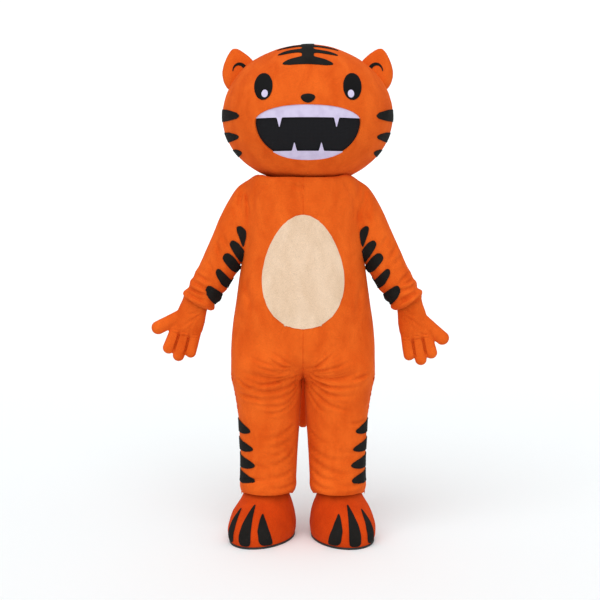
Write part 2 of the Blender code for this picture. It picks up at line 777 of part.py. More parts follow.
def make_body_patches(floor):
    """The belly patch and the leg stripes."""

    def belly_surface(x, z):
        _, _, half_width, front, _, _ = body_section(body_row(z))
        share = (1 - abs(x / half_width) ** BODY_EXPONENT) ** (1 / BODY_EXPONENT)
        return (x, -front * share, z)

    outline = []
    for x, z in ellipse(1, 1, count=28):
        width = BELLY_HALF_SIZE[0] * (1 - BELLY_EGG * z) * math.sqrt(1 + BELLY_EGG**2)
        outline.append((x * width, BELLY_MIDDLE + z * BELLY_HALF_SIZE[1]))
    widest = max(x for x, _ in outline)
    outline = [(x * BELLY_HALF_SIZE[0] / widest, z) for x, z in outline]
    lines = (even_lines(outline, (0.05, 1))[0], [row[0] for row in BODY])
    bm = patch(outline, belly_surface, (0.004, 0.02), lines, lift=BELLY_LIFT)
    add_piece("belly_patch", bm, "cream_plush", floor)

    column_angle = 180 / BODY_PANEL_COLUMNS
    turns = range(-BODY_PANEL_COLUMNS, BODY_PANEL_COLUMNS + 1)
    leg_lines = ([column_angle * k for k in turns], [row[0] for row in BODY])
    for label, side in SIDES:

        def leg_surface(angle, z):
            return body_point(180 - angle, body_row(z), side)

        for k, (height, reach, half_height, drop) in enumerate(LEG_STRIPES, 1):
            outline = [
                (a, z - drop * (a / reach) ** 2)
                for a, z in ellipse(reach, half_height, (0, height), count=16)
            ]
            bm = patch(outline, leg_surface, (2, 0.01), leg_lines, outward=-side)
            add_piece(f"leg_stripe_{label}_{k}", bm, "black_plush", floor)


def curve_mesh(curve_object):
    """The closed mesh of a curve object, which is removed."""
    graph = bpy.context.evaluated_depsgraph_get()
    mesh = bpy.data.meshes.new_from_object(curve_object.evaluated_get(graph))
    bpy.data.objects.remove(curve_object, do_unlink=True)
    bm = bmesh.new()
    bm.from_mesh(mesh)
    bmesh.ops.remove_doubles(bm, verts=bm.verts, dist=1e-5)
    bpy.data.meshes.remove(mesh)
    return bm


def make_tail(floor):
    """A stuffed tail that leaves the seat and hangs down behind the legs."""
    curve = bpy.data.curves.new("tail_curve", "CURVE")
    curve.dimensions = "3D"
    curve.bevel_depth = TAIL_RADIUS
    curve.bevel_resolution = 3
    curve.use_fill_caps = True
    spline = curve.splines.new("POLY")
    spline.points.add(len(TAIL_ROUTE) - 1)
    for point, (back, height, share) in zip(spline.points, TAIL_ROUTE):
        point.co = (0, back, height, 1)
        point.radius = share
    route = bpy.data.objects.new("tail_route", curve)
    COSTUME.objects.link(route)
    bpy.context.view_layer.update()
    add_piece("tail", curve_mesh(route), "orange_plush", floor)


def box(bm, size, centre):
    """Add a box to a bmesh."""
    made = bmesh.ops.create_cube(bm, size=1)["verts"]
    bmesh.ops.scale(bm, verts=made, vec=size)
    bmesh.ops.translate(bm, verts=made, vec=centre)


def rod(bm, radius, length, centre, segments=16):
    """Add a rod along X to a bmesh."""
    made = bmesh.ops.create_cone(
        bm, cap_ends=True, segments=segments, radius1=radius, radius2=radius, depth=length
    )["verts"]
    bmesh.ops.rotate(bm, verts=made, matrix=Matrix.Rotation(math.pi / 2, 3, "Y"))
    bmesh.ops.translate(bm, verts=made, vec=centre)


def make_zip(floor):
    """The zip's tape on the centre back seam, its slider, and the pull tab on the slider's pin."""

    def back_surface(x, z):
        _, _, half_width, _, back, _ = body_section(body_row(z))
        share = (1 - abs(x / half_width) ** BODY_EXPONENT) ** (1 / BODY_EXPONENT)
        return (x, back * share, z)

    outline = [
        (-ZIP_HALF_WIDTH, ZIP_FOOT),
        (ZIP_HALF_WIDTH, ZIP_FOOT),
        (ZIP_HALF_WIDTH, ZIP_HEAD),
        (-ZIP_HALF_WIDTH, ZIP_HEAD),
    ]
    lines = ([], [row[0] for row in BODY])
    bm = patch(outline, back_surface, (0.004, 0.02), lines, outward=-1)
    add_piece("zip_tape", bm, "zip_cloth", floor)

    tape_top = back_surface(0, SLIDER_HEIGHT)[1] + PATCH_LIFT + PATCH
    base_middle = tape_top + SEAM_GAP + SLIDER_BASE[1] / 2
    base_top = base_middle + SLIDER_BASE[1] / 2
    slider_stand = datum("slider_stand", (0, 0, SLIDER_HEIGHT), floor)
    base = bmesh.new()
    box(base, SLIDER_BASE, (0, base_middle, 0))
    bmesh.ops.bevel(
        base, geom=base.edges[:], offset=SLIDER_EDGE, segments=2, affect="EDGES", profile=0.5
    )
    slider = add_piece("zip_slider", base, "zip_metal", slider_stand)
    for name, sign in (("slider_lug_left", 1), ("slider_lug_right", -1)):
        lug = bmesh.new()
        place = (sign * SLIDER_LUG_PLACE, base_top + SLIDER_LUG[1] / 2 - SLIDER_LUG_SINK, 0)
        box(lug, SLIDER_LUG, place)
        boolean(slider, add_cutter(name, lug, slider_stand), "UNION")
    pin = bmesh.new()
    pin_back = base_top + PIN_STAND
    rod(pin, PIN_RADIUS, 2 * SLIDER_LUG_PLACE, (0, pin_back, 0))
    boolean(slider, add_cutter("slider_pin", pin, slider_stand), "UNION")

    tab_stand = datum("tab_stand", (0, pin_back, SLIDER_HEIGHT), floor)
    eye = bmesh.new()
    rod(eye, TAB_EYE_OUTER, TAB_EYE_WIDTH, (0, 0, 0), segments=24)
    tab = add_piece("zip_pull", eye, "zip_metal", tab_stand)
    blade = bmesh.new()
    box(blade, TAB_SIZE, (0, 0, -TAB_EYE_INNER - TAB_SIZE[2] / 2 - TAB_BELOW_EYE))
    upright = [e for e in blade.edges if abs((e.verts[0].co - e.verts[1].co).y) > 0.001]
    bmesh.ops.bevel(blade, geom=upright, offset=TAB_CORNER, segments=4, affect="EDGES", profile=0.5)
    boolean(tab, add_cutter("tab_blade", blade, tab_stand), "UNION")
    neck = bmesh.new()
    box(neck, TAB_NECK_SIZE, (0, 0, -TAB_EYE_INNER - TAB_NECK_BELOW_EYE))
    boolean(tab, add_cutter("tab_neck", neck, tab_stand), "UNION")
    hole = bmesh.new()
    rod(hole, TAB_EYE_INNER, 2 * TAB_EYE_WIDTH, (0, 0, 0))
    boolean(tab, add_cutter("tab_eye_hole", hole, tab_stand), "DIFFERENCE")


# Gloves


def capsule(root, tip, radius):
    """A finger: a rod with rounded ends, from its root's centre to its tip's centre."""
    bm = bmesh.new()
    bmesh.ops.create_uvsphere(
        bm, u_segments=FINGER_SEGMENTS, v_segments=FINGER_RINGS, radius=radius
    )
    run = Vector(tip) - Vector(root)
    for vert in bm.verts:
        if vert.co.z > 1e-6:
            vert.co.z += run.length
    turn = Vector((0, 0, 1)).rotation_difference(run).to_matrix()
    bmesh.ops.rotate(bm, verts=bm.verts, matrix=turn)
    bmesh.ops.translate(bm, verts=bm.verts, vec=root)
    return bm


def palm(shrink, wrist_reach):
    """The palm as a loft of ellipses from the wrist to the finger roots, closed at both ends."""
    rings = [list(row) for row in PALM]
    rings[0][0] -= wrist_reach
    bm = bmesh.new()
    made = []
    for along, across, half_width, half_thickness in rings:
        outline = ellipse(half_width - shrink, half_thickness - shrink, count=PALM_SEGMENTS)
        made.append([bm.verts.new((across + x, y, -along)) for x, y in outline])
    for low, high in zip(made, made[1:]):
        for c in range(PALM_SEGMENTS):
            d = (c + 1) % PALM_SEGMENTS
            bm.faces.new((low[c], low[d], high[d], high[c]))
    bm.faces.new(made[0])
    bm.faces.new(made[-1])
    bmesh.ops.recalc_face_normals(bm, faces=bm.faces)
    return bm


def make_gloves(floor):
    """Gloves with a thumb and three fat fingers, hollow and open at the wrist."""
    for label, side in SIDES:
        wrist = WRIST[label]
        stand = datum(f"glove_stand_{label}", (side * wrist.x, wrist.y, wrist.z), floor)
        stand.rotation_euler = (0, -side * HAND_TILT[label], 0)
        hollow = add_cutter(f"glove_hollow_{label}", palm(CLOTH, WRIST_CUT_REACH), stand)
        glove = add_piece(f"glove_{label}", palm(0, 0), "orange_plush", stand)
        for k, finger in enumerate((*FINGERS, THUMB[label])):
            root_along, root_across, tip_along, tip_across, radius = finger
            root = (side * root_across, 0, -root_along)
            tip = (side * tip_across, 0, -tip_along)
            full = add_cutter(f"finger_{label}_{k}", capsule(root, tip, radius), stand)
            boolean(glove, full, "UNION")
            bore = add_cutter(f"finger_bore_{label}_{k}", capsule(root, tip, radius - CLOTH), stand)
            boolean(hollow, bore, "UNION")
        boolean(glove, hollow, "DIFFERENCE")


# Shoe covers


def shoe_surface(side):
    """The shoe cover round the ankle, by angle from the toe in degrees and by height."""
    heights = [row[0] for row in SHOE]

    def surface(angle, height):
        half_length, half_width, forward = (
            np.interp(height, heights, [row[c] for row in SHOE]) for c in (1, 2, 3)
        )
        a = math.radians(angle)
        return (side * half_width * math.sin(a), -forward - half_length * math.cos(a), height)

    return surface


def make_shoes(floor):
    """Plush domes open at the ankle, on flat soles, with three stripes over each toe."""
    for label, side in SIDES:
        stand = datum(f"shoe_stand_{label}", (side * ANKLE_OUT, 0, 0), floor)
        stand.rotation_euler = (0, 0, side * TOE_OUT[label])
        surface = shoe_surface(side)
        angles = [360 * k / SHOE_SEGMENTS for k in range(SHOE_SEGMENTS)]
        shoe_lines = ([a - 180 for a in angles], [row[0] for row in SHOE])
        rows = [[surface(a, row[0]) for a in angles] for row in SHOE]
        bm = wall(rows, SHOE_CLOTH, wraps=True)
        add_piece(f"shoe_upper_{label}", bm, "shoe_plush", stand)

        sole = bmesh.new()
        bmesh.ops.create_cone(
            sole, cap_ends=True, segments=28, radius1=1, radius2=1, depth=SOLE_THICKNESS
        )
        bmesh.ops.scale(sole, verts=sole.verts, vec=(SOLE_HALF_WIDTH, SOLE_HALF_LENGTH, 1))
        bmesh.ops.translate(sole, verts=sole.verts, vec=(0, -SOLE_FORWARD, SOLE_THICKNESS / 2))
        add_piece(f"shoe_sole_{label}", sole, "sole_rubber", stand)

        for k, row in enumerate(TOE_STRIPES, 1):
            bm = patch(claw(*row), surface, (2, 0.004), shoe_lines, outward=side)
            add_piece(f"toe_stripe_{label}_{k}", bm, "black_plush", stand)


def claw(foot_angle, tip_angle, half_angle, foot, tip):
    """A claw mark: wide at the sole, narrowing in a curve to its tip up the toe."""
    edges = ([], [])
    for share, width in ((0.0, 0.92), (0.2, 1.0), (0.5, 0.88), (0.8, 0.52), (1.0, 0.14)):
        angle = foot_angle + share * (tip_angle - foot_angle)
        height = foot + share * (tip - foot)
        for edge, sign in zip(edges, (1, -1)):
            edge.append((angle + sign * half_angle * width, height))
    return edges[0] + edges[1][::-1]


clear_scene()
COSTUME = new_collection("tiger_mascot_costume", True)
CUTTERS = new_collection("cutters", False)
FLOOR = datum("floor_datum", (0, 0, -SHOULDER_HEIGHT))
make_head(datum("head_stand", HEAD_CENTRE, FLOOR))
make_body(FLOOR)
make_sleeves(FLOOR)
make_body_patches(FLOOR)
make_tail(FLOOR)
make_zip(FLOOR)
make_gloves(FLOOR)
make_shoes(FLOOR)
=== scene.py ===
"""Looks of the tiger mascot costume, on the frame of its CAD model.

Lengths are in metres unless a name ends in _mm. The front faces -Y, +X is the wearer's left, and
the floor is 1.3 m below the origin. Every piece made here rides on the costume's body, and the
zip's pull tab keeps the body of its own that it has in the CAD model.
"""

import logging
import math
from dataclasses import dataclass, field
from enum import Enum
from typing import Callable, Iterable, Sequence

import bpy
import numpy as np
from mathutils import Matrix, Vector
from mathutils.bvhtree import BVHTree


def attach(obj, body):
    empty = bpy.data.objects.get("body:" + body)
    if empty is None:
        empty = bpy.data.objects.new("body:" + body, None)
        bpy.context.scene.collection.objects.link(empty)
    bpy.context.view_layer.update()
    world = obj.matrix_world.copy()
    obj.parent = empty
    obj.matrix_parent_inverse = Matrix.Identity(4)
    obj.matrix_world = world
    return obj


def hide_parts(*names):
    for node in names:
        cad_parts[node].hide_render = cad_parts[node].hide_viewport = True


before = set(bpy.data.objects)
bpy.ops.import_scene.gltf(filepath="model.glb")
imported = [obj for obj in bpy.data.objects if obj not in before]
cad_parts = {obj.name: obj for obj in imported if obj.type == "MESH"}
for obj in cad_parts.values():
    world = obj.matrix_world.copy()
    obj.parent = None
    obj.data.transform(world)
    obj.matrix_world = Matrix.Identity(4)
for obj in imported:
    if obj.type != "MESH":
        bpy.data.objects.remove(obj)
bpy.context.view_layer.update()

LOG = logging.getLogger("tiger_costume")
FLOOR = -1.300
CLOTH = 0.002
PATCH = 0.0016
THIN_PATCH = 0.0010
PATCH_LIFT = 0.0008
STRIPE_LIFT = 0.0018
WELD = 1e-5
BODY = "costume"
SIDES = (("left", 1), ("right", -1))

Thing = bpy.types.Object
Outline = Sequence[tuple[float, float]]
Place = tuple[float, float, float]


# Mesh tools


def alone(obj: Thing) -> None:
    """Select one object alone and make it active.

    Args:
        obj: The object to work on.
    """
    bpy.ops.object.select_all(action="DESELECT")
    obj.select_set(True)
    bpy.context.view_layer.objects.active = obj


def modify(obj: Thing, kind: str, **settings: object) -> None:
    """Add a modifier and apply it.

    Args:
        obj: The object to change.
        kind: Blender's name for the modifier's type.
        settings: The modifier's settings, by name.
    """
    alone(obj)
    modifier = obj.modifiers.new(kind, kind)
    for name, value in settings.items():
        setattr(modifier, name, value)
    bpy.ops.object.modifier_apply(modifier=modifier.name)


def points_of(obj: Thing) -> np.ndarray:
    """Read an object's vertices.

    Args:
        obj: A mesh object.

    Returns:
        An array of one row of x, y and z for each vertex.
    """
    flat = np.empty(3 * len(obj.data.vertices))
    obj.data.vertices.foreach_get("co", flat)
    return flat.reshape(-1, 3)


def set_points(obj: Thing, points: np.ndarray) -> None:
    """Move an object's vertices.

    Args:
        obj: A mesh object.
        points: One row of x, y and z for each vertex.
    """
    obj.data.vertices.foreach_set("co", np.ascontiguousarray(points).ravel())
    obj.data.update()


def normals_of(obj: Thing) -> np.ndarray:
    """Read an object's vertex normals.

    Args:
        obj: A mesh object.

    Returns:
        An array of one unit vector for each vertex.
    """
    flat = np.empty(3 * len(obj.data.vertices))
    obj.data.vertex_normals.foreach_get("vector", flat)
    return flat.reshape(-1, 3)


def face_data(obj: Thing) -> tuple[np.ndarray, np.ndarray, np.ndarray]:
    """Read the centres, normals and areas of an object's faces.

    Args:
        obj: A mesh object.

    Returns:
        The centres, the normals and the areas.
    """
    faces = obj.data.polygons
    centres, normals, areas = np.empty(3 * len(faces)), np.empty(3 * len(faces)), np.empty(len(faces))
    faces.foreach_get("center", centres)
    faces.foreach_get("normal", normals)
    faces.foreach_get("area", areas)
    return centres.reshape(-1, 3), normals.reshape(-1, 3), areas


def add_shape(operator: Callable, name: str, **settings: object) -> Thing:
    """Add one of Blender's basic meshes.

    Args:
        operator: The operator that adds it.
        name: Its name.
        settings: The operator's settings.

    Returns:
        The new object.
    """
    bpy.ops.object.select_all(action="DESELECT")
    operator(**settings)
    made = bpy.context.object
    made.name = made.data.name = name
    return made


def joined(parts: Sequence[Thing], name: str) -> Thing:
    """Join objects into the first of them.

    Args:
        parts: The objects.
        name: The name of what they become.

    Returns:
        The joined object.
    """
    alone(parts[0])
    for part in parts:
        part.select_set(True)
    bpy.ops.object.join()
    parts[0].name = parts[0].data.name = name
    return parts[0]


def edit_faces(obj: Thing, chosen: np.ndarray) -> None:
    """Enter edit mode with some faces selected.

    Args:
        obj: A mesh object.
        chosen: True for each face to select.
    """
    alone(obj)
    bpy.context.tool_settings.mesh_select_mode = (False, False, True)
    bpy.ops.object.mode_set(mode="EDIT")
    bpy.ops.mesh.select_all(action="DESELECT")
    bpy.ops.object.mode_set(mode="OBJECT")
    obj.data.polygons.foreach_set("select", chosen)
    bpy.ops.object.mode_set(mode="EDIT")


def edit_all(obj: Thing) -> None:
    """Enter edit mode with everything selected.

    Args:
        obj: A mesh object.
    """
    alone(obj)
    bpy.ops.object.mode_set(mode="EDIT")
    bpy.ops.mesh.select_all(action="SELECT")


def leave_edit() -> None:
    """Go back to object mode."""
    bpy.ops.object.mode_set(mode="OBJECT")


def flip(obj: Thing) -> None:
    """Turn all faces of an object round."""
    edit_all(obj)
    bpy.ops.mesh.flip_normals()
    leave_edit()


def ease_edges(obj: Thing, width: float, segments: int = 2, above: float = 60) -> None:
    """Round an object's sharp edges.

    Args:
        obj: The object.
        width: How far the rounding reaches.
        segments: How many faces it has.
        above: The angle in degrees from which an edge is sharp.
    """
    angle = math.radians(above)
    modify(obj, "BEVEL", width=width, segments=segments, limit_method="ANGLE", angle_limit=angle)


def keep_faces(obj: Thing, kept: np.ndarray) -> None:
    """Delete all faces but some.

    Args:
        obj: A mesh object.
        kept: True for each face that stays.
    """
    if kept.all():
        return
    edit_faces(obj, ~kept)
    bpy.ops.mesh.delete(type="FACE")
    leave_edit()


def copy_of(obj: Thing, name: str) -> Thing:
    """Copy an object with its own mesh.

    Args:
        obj: The object to copy.
        name: The copy's name.

    Returns:
        The copy.
    """
    made = obj.copy()
    made.data = obj.data.copy()
    made.name = name
    made.data.name = name
    bpy.context.scene.collection.objects.link(made)
    return made


def node_copy(node: str, name: str) -> Thing:
    """Copy a CAD node's mesh into a new object, with its triangles merged.

    Args:
        node: The CAD node's name.
        name: The new object's name.

    Returns:
        The new object.
    """
    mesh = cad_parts[node].data.copy()
    mesh.materials.clear()
    made = bpy.data.objects.new(name, mesh)
    bpy.context.scene.collection.objects.link(made)
    edit_all(made)
    bpy.ops.mesh.remove_doubles(threshold=WELD)
    leave_edit()
    return made


def outer_sheet(node: str, name: str, away: Sequence[float]) -> Thing:
    """Take the outer face of a CAD wall as an open sheet of quads.

    Args:
        node: The CAD node's name.
        name: The sheet's name.
        away: A point within the form that the wall wraps.

    Returns:
        The sheet, with its normals pointing outwards.
    """
    sheet = node_copy(node, name)
    centres, normals, areas = face_data(sheet)
    outward = np.einsum("ij,ij->i", normals, centres - np.array(away)) * areas
    edit_faces(sheet, np.arange(len(areas)) == outward.argmax())
    bpy.ops.mesh.faces_select_linked_flat(sharpness=math.radians(58))
    bpy.ops.mesh.select_all(action="INVERT")
    bpy.ops.mesh.delete(type="FACE")
    bpy.ops.mesh.select_all(action="SELECT")
    bpy.ops.mesh.tris_convert_to_quads(
        face_threshold=math.radians(50), shape_threshold=math.radians(70)
    )
    leave_edit()
    return sheet


def round_out(obj: Thing, levels: int, passes: int = 3) -> None:
    """Subdivide a faceted sheet into a smooth one that still runs through its old vertices.

    Args:
        obj: The sheet.
        levels: How many times each face is divided.
        passes: How many times the cage is corrected.
    """
    alone(obj)
    modifier = obj.modifiers.new("Subdivision", "SUBSURF")
    modifier.levels = modifier.render_levels = levels
    target = points_of(obj)
    cage = target.copy()
    for _ in range(passes):
        shaped = obj.evaluated_get(bpy.context.evaluated_depsgraph_get())
        cage += target - points_of(shaped)[: len(target)]
        set_points(obj, cage)
    bpy.ops.object.modifier_apply(modifier=modifier.name)


def bisect(
    obj: Thing, place: Sequence[float], direction: Sequence[float], clear: bool = False
) -> None:
    """Cut a mesh along a plane.

    Args:
        obj: A mesh object.
        place: A point of the plane.
        direction: The plane's normal.
        clear: Whether what lies beyond the plane, along its normal, is deleted.
    """
    edit_all(obj)
    bpy.ops.mesh.bisect(plane_co=place, plane_no=direction, clear_outer=clear, threshold=WELD)
    leave_edit()


def smooth_line(path: Outline, step: float) -> np.ndarray:
    """Run a smooth line through some points.

    Args:
        path: The points.
        step: The distance between the line's own points.

    Returns:
        The line's points.
    """
    knots = np.array(path, float)
    run = np.r_[0, np.cumsum(np.linalg.norm(np.diff(knots, axis=0), axis=1))]
    at = np.linspace(0, run[-1], max(2, int(run[-1] / step) + 1))
    slopes = np.gradient(knots, run, axis=0)
    k = np.clip(np.searchsorted(run, at, side="right") - 1, 0, len(run) - 2)
    span = (run[k + 1] - run[k])[:, None]
    u = (at - run[k])[:, None] / span
    start = (1 + 2 * u) * (1 - u) ** 2 * knots[k] + u * (1 - u) ** 2 * span * slopes[k]
    return start + u**2 * (3 - 2 * u) * knots[k + 1] + u**2 * (u - 1) * span * slopes[k + 1]


def soft_step(share: np.ndarray) -> np.ndarray:
    """Ease from 0 to 1 as the share goes from 0 to 1."""
    share = np.clip(share, 0, 1)
    return share**2 * (3 - 2 * share)


class Facing(Enum):
    """The side of the costume that a crease is on: the axis across it, the axis out, its sign."""

    FRONT = (0, 1, -1)
    BACK = (0, 1, 1)
    LEFT = (1, 0, 1)
    RIGHT = (1, 0, -1)


@dataclass(frozen=True)
class Crease:
    """A fold pressed into cloth: a soft trough with a low ridge on each side of it.

    The path is in millimetres, across and above the floor. It starts at its deep end.
    """

    path: tuple[tuple[float, float], ...]
    depth_mm: float = 2.6
    width_mm: float = 7.0
    facing: Facing = Facing.FRONT

    def line_on(self, tree: BVHTree) -> np.ndarray:
        """Lay the crease's path on a surface.

        Args:
            tree: The surface.

        Returns:
            The points of the path that meet the surface.
        """
        across, out, sign = self.facing.value
        laid = []
        for a, height in smooth_line([(x / 1000, z / 1000) for x, z in self.path], 0.003):
            start = Vector((0, 0, height + FLOOR))
            start[across] = a
            start[out] = sign
            toward = Vector((0, 0, 0))
            toward[out] = -sign
            hit = tree.ray_cast(start, toward)[0]
            if hit:
                laid.append(hit)
        return np.array(laid)

    def push(self, points: np.ndarray, line: np.ndarray) -> np.ndarray:
        """Work out how far each point moves along its normal.

        Args:
            points: The mesh's points.
            line: The crease's path on the mesh.

        Returns:
            The moves, in metres.
        """
        width = self.width_mm / 1000
        move = np.zeros(len(points))
        if len(line) < 2:
            return move
        reach = 3.6 * width
        near = np.all((points > line.min(0) - reach) & (points < line.max(0) + reach), axis=1)
        index = np.flatnonzero(near)
        gaps = np.linalg.norm(points[index][:, None] - line[None], axis=2)
        nearest = gaps.argmin(axis=1)
        q = gaps[np.arange(len(index)), nearest] / width
        share = nearest / (len(line) - 1)
        strength = soft_step((share + 0.06) / 0.16) * soft_step((1 - share) / 0.5)
        move[index] = -self.depth_mm / 1000 * strength * (1 - q**2) * np.exp(-(q**2) / 2)
        return move


def creases(*rows: tuple) -> tuple[Crease, ...]:
    """Make creases of the front from rows of depth and width, and then the path's points."""
    return tuple(Crease(tuple(path), depth, width) for depth, width, *path in rows)


def press(obj: Thing, folds: Iterable[Crease]) -> None:
    """Press creases into a sheet.

    Args:
        obj: The sheet.
        folds: The creases.
    """
    tree = BVHTree.FromObject(obj, bpy.context.evaluated_depsgraph_get())
    points, normals = points_of(obj), normals_of(obj)
    move = sum(fold.push(points, fold.line_on(tree)) for fold in folds)
    set_points(obj, points + normals * np.clip(move, -0.014, 0.007)[:, None])


def waves(points: np.ndarray, length: float, seed: int) -> np.ndarray:
    """Give soft unevenness between -1 and 1 that is the same each time.

    Args:
        points: The places.
        length: The distance from wave to wave.
        seed: Which of the patterns it is.

    Returns:
        One value for each place.
    """
    draw = np.random.default_rng(seed)
    turns = draw.normal(size=(7, 3))
    turns /= np.linalg.norm(turns, axis=1, keepdims=True)
    lengths = length * draw.uniform(0.7, 1.5, 7)
    phases = draw.uniform(0, 2 * math.pi, 7)
    return np.sin(points @ (turns / lengths[:, None]).T * 2 * math.pi + phases).mean(axis=1) * 1.6


def cut_patch(name: str, outline: Outline, cell: float) -> Thing:
    """Cut a flat patch to an outline, upright and facing the front, and divide it into cells.

    Args:
        name: The patch's name.
        outline: Points across and up.
        cell: The size of a cell.

    Returns:
        The patch.
    """
    circle = bpy.ops.mesh.primitive_circle_add
    patch = add_shape(circle, name, vertices=len(outline), radius=0.1, fill_type="NGON")
    set_points(patch, np.array([(x, 0, z) for x, z in outline]))
    edit_all(patch)
    bpy.ops.mesh.normals_make_consistent(inside=False)
    low, high = np.min(outline, axis=0), np.max(outline, axis=0)
    for axis, direction in ((0, (1, 0, 0)), (1, (0, 0, 1))):
        count = math.ceil((high[axis] - low[axis]) / cell)
        for line in np.linspace(low[axis], high[axis], count + 1)[1:-1]:
            bpy.ops.mesh.select_all(action="SELECT")
            place = [line * d for d in direction]
            bpy.ops.mesh.bisect(plane_co=place, plane_no=direction, threshold=WELD)
    bpy.ops.mesh.select_all(action="SELECT")
    bpy.ops.mesh.quads_convert_to_tris()
    leave_edit()
    face_front(patch)
    return patch


def face_front(patch: Thing) -> None:
    """Turn a flat upright patch's faces to the front.

    Args:
        patch: The patch.
    """
    if face_data(patch)[1][:, 1].mean() > 0:
        flip(patch)


def lay_on(patch: Thing, form: Thing, lift: float = PATCH_LIFT) -> None:
    """Lay a patch on a form.

    Args:
        patch: The patch.
        form: The sheet or solid under it.
        lift: How far above the form it lies.
    """
    modify(
        patch,
        "SHRINKWRAP",
        target=form,
        wrap_method="NEAREST_SURFACEPOINT",
        wrap_mode="ABOVE_SURFACE",
        offset=lift,
    )


def thicken(obj: Thing, thickness: float, outward: bool = False) -> None:
    """Give a sheet its thickness.

    Args:
        obj: The sheet.
        thickness: How thick it is.
        outward: Whether it grows outwards from its surface and not inwards.
    """
    way = 1.0 if outward else -1.0
    modify(obj, "SOLIDIFY", thickness=thickness, offset=way, use_even_offset=False, use_rim=True)


def pad_out(
    obj: Thing, voxel: float, cap: float, pressure: float = 4.0, frames: int = 20
) -> None:
    """Swell a closed form as stuffing does, by a short cloth simulation.

    Args:
        obj: The form, slightly smaller than the stuffed piece.
        voxel: The size of the cloth's cells.
        cap: How far a point may move.
        pressure: The stuffing's pressure.
        frames: How many frames the simulation runs.
    """
    modify(obj, "REMESH", mode="VOXEL", voxel_size=voxel)
    start = points_of(obj)
    alone(obj)
    cloth = obj.modifiers.new("Cloth", "CLOTH")
    cloth.settings.use_pressure = True
    cloth.settings.uniform_pressure_force = pressure
    cloth.settings.effector_weights.gravity = 0
    cloth.point_cache.frame_end = frames
    scene = bpy.context.scene
    for number in range(1, frames + 1):
        scene.frame_set(number)
    swollen = points_of(obj.evaluated_get(bpy.context.evaluated_depsgraph_get()))
    obj.modifiers.remove(cloth)
    scene.frame_set(1)
    step = swollen - start
    far = np.linalg.norm(step, axis=1, keepdims=True)
    set_points(obj, start + step * np.minimum(1, cap / np.maximum(far, 1e-9)))
    modify(obj, "SMOOTH", factor=0.5, iterations=4)
    modify(obj, "SUBSURF", levels=1, render_levels=1)


def placed(obj: Thing, matrix: Matrix) -> Thing:
    """Move an object's mesh to its place, and leave the object at the origin.

    Args:
        obj: The object.
        matrix: Its place and turn.

    Returns:
        The same object.
    """
    obj.data.transform(obj.matrix_world)
    obj.data.transform(matrix)
    obj.matrix_world = Matrix.Identity(4)
    obj.data.update()
    return obj


# Finishes


def linear(hex_colour: str) -> tuple[float, float, float, float]:
    """Turn an sRGB colour to linear light.

    Args:
        hex_colour: Six hex digits after a #.

    Returns:
        Red, green, blue and an alpha of 1.
    """
    shares = [int(hex_colour[i : i + 2], 16) / 255 for i in (1, 3, 5)]
    light = [s / 12.92 if s <= 0.04045 else ((s + 0.055) / 1.055) ** 2.4 for s in shares]
    return (*light, 1.0)


def add_node(
    tree: bpy.types.NodeTree,
    kind: str,
    values: dict[str | int, object] | None = None,
    links: dict[str | int, bpy.types.NodeSocket] | None = None,
    **settings: object,
) -> bpy.types.Node:
    """Add a node with its settings and links.

    Args:
        tree: The node tree.
        kind: The node's type.
        values: Values for its inputs.
        links: Sockets that feed its inputs.
        settings: Its other settings.

    Returns:
        The node.
    """
    node = tree.nodes.new(kind)
    for name, value in settings.items():
        setattr(node, name, value)
    for name, value in (values or {}).items():
        node.inputs[name].default_value = value
    for name, socket in (links or {}).items():
        tree.links.new(socket, node.inputs[name])
    return node


def set_ramp(node: bpy.types.Node, stops: Sequence[tuple[float, tuple[float, ...]]]) -> None:
    """Set a colour ramp's stops.

    Args:
        node: The colour ramp.
        stops: Places and colours.
    """
    ramp = node.color_ramp
    while len(ramp.elements) < len(stops):
        ramp.elements.new(0.5)
    for element, (place, colour) in zip(ramp.elements, stops):
        element.position = place
        element.color = colour


def new_material(
    name: str, **values: object
) -> tuple[bpy.types.Material, bpy.types.Node, bpy.types.NodeSocket]:
    """Make a material with a Principled shader.

    Args:
        name: The material's name.
        values: Values for the shader's inputs, with _ for a space.

    Returns:
        The material, its shader, and the places on the object for its textures.
    """
    material = bpy.data.materials.new(name)
    material.use_nodes = True
    shader = material.node_tree.nodes["Principled BSDF"]
    for key, value in values.items():
        shader.inputs[key.replace("_", " ")].default_value = value
    return material, shader, add_node(material.node_tree, "ShaderNodeTexCoord").outputs["Object"]


def grey(value: float) -> tuple[float, float, float, float]:
    """A grey in linear light."""
    return (value, value, value, 1.0)


def tint(
    shader: bpy.types.Node,
    share: bpy.types.NodeSocket,
    stops: Sequence[tuple[float, tuple[float, ...]]],
) -> None:
    """Colour a shader by a ramp.

    Args:
        shader: The shader.
        share: What runs along the ramp.
        stops: The ramp's places and colours.
    """
    tone = add_node(shader.id_data, "ShaderNodeValToRGB", links={"Fac": share})
    set_ramp(tone, stops)
    shader.id_data.links.new(tone.outputs["Color"], shader.inputs["Base Color"])


def emboss(shader: bpy.types.Node, *layers: tuple[bpy.types.NodeSocket, float, float]) -> None:
    """Raise a shader's surface.

    Args:
        shader: The shader.
        layers: Height, strength and distance of each layer, the broadest first.
    """
    tree, under = shader.id_data, {}
    for height, strength, distance in layers:
        values = {"Strength": strength, "Distance": distance}
        bump = add_node(tree, "ShaderNodeBump", values, {"Height": height, **under})
        under = {"Normal": bump.outputs["Normal"]}
    tree.links.new(under["Normal"], shader.inputs["Normal"])


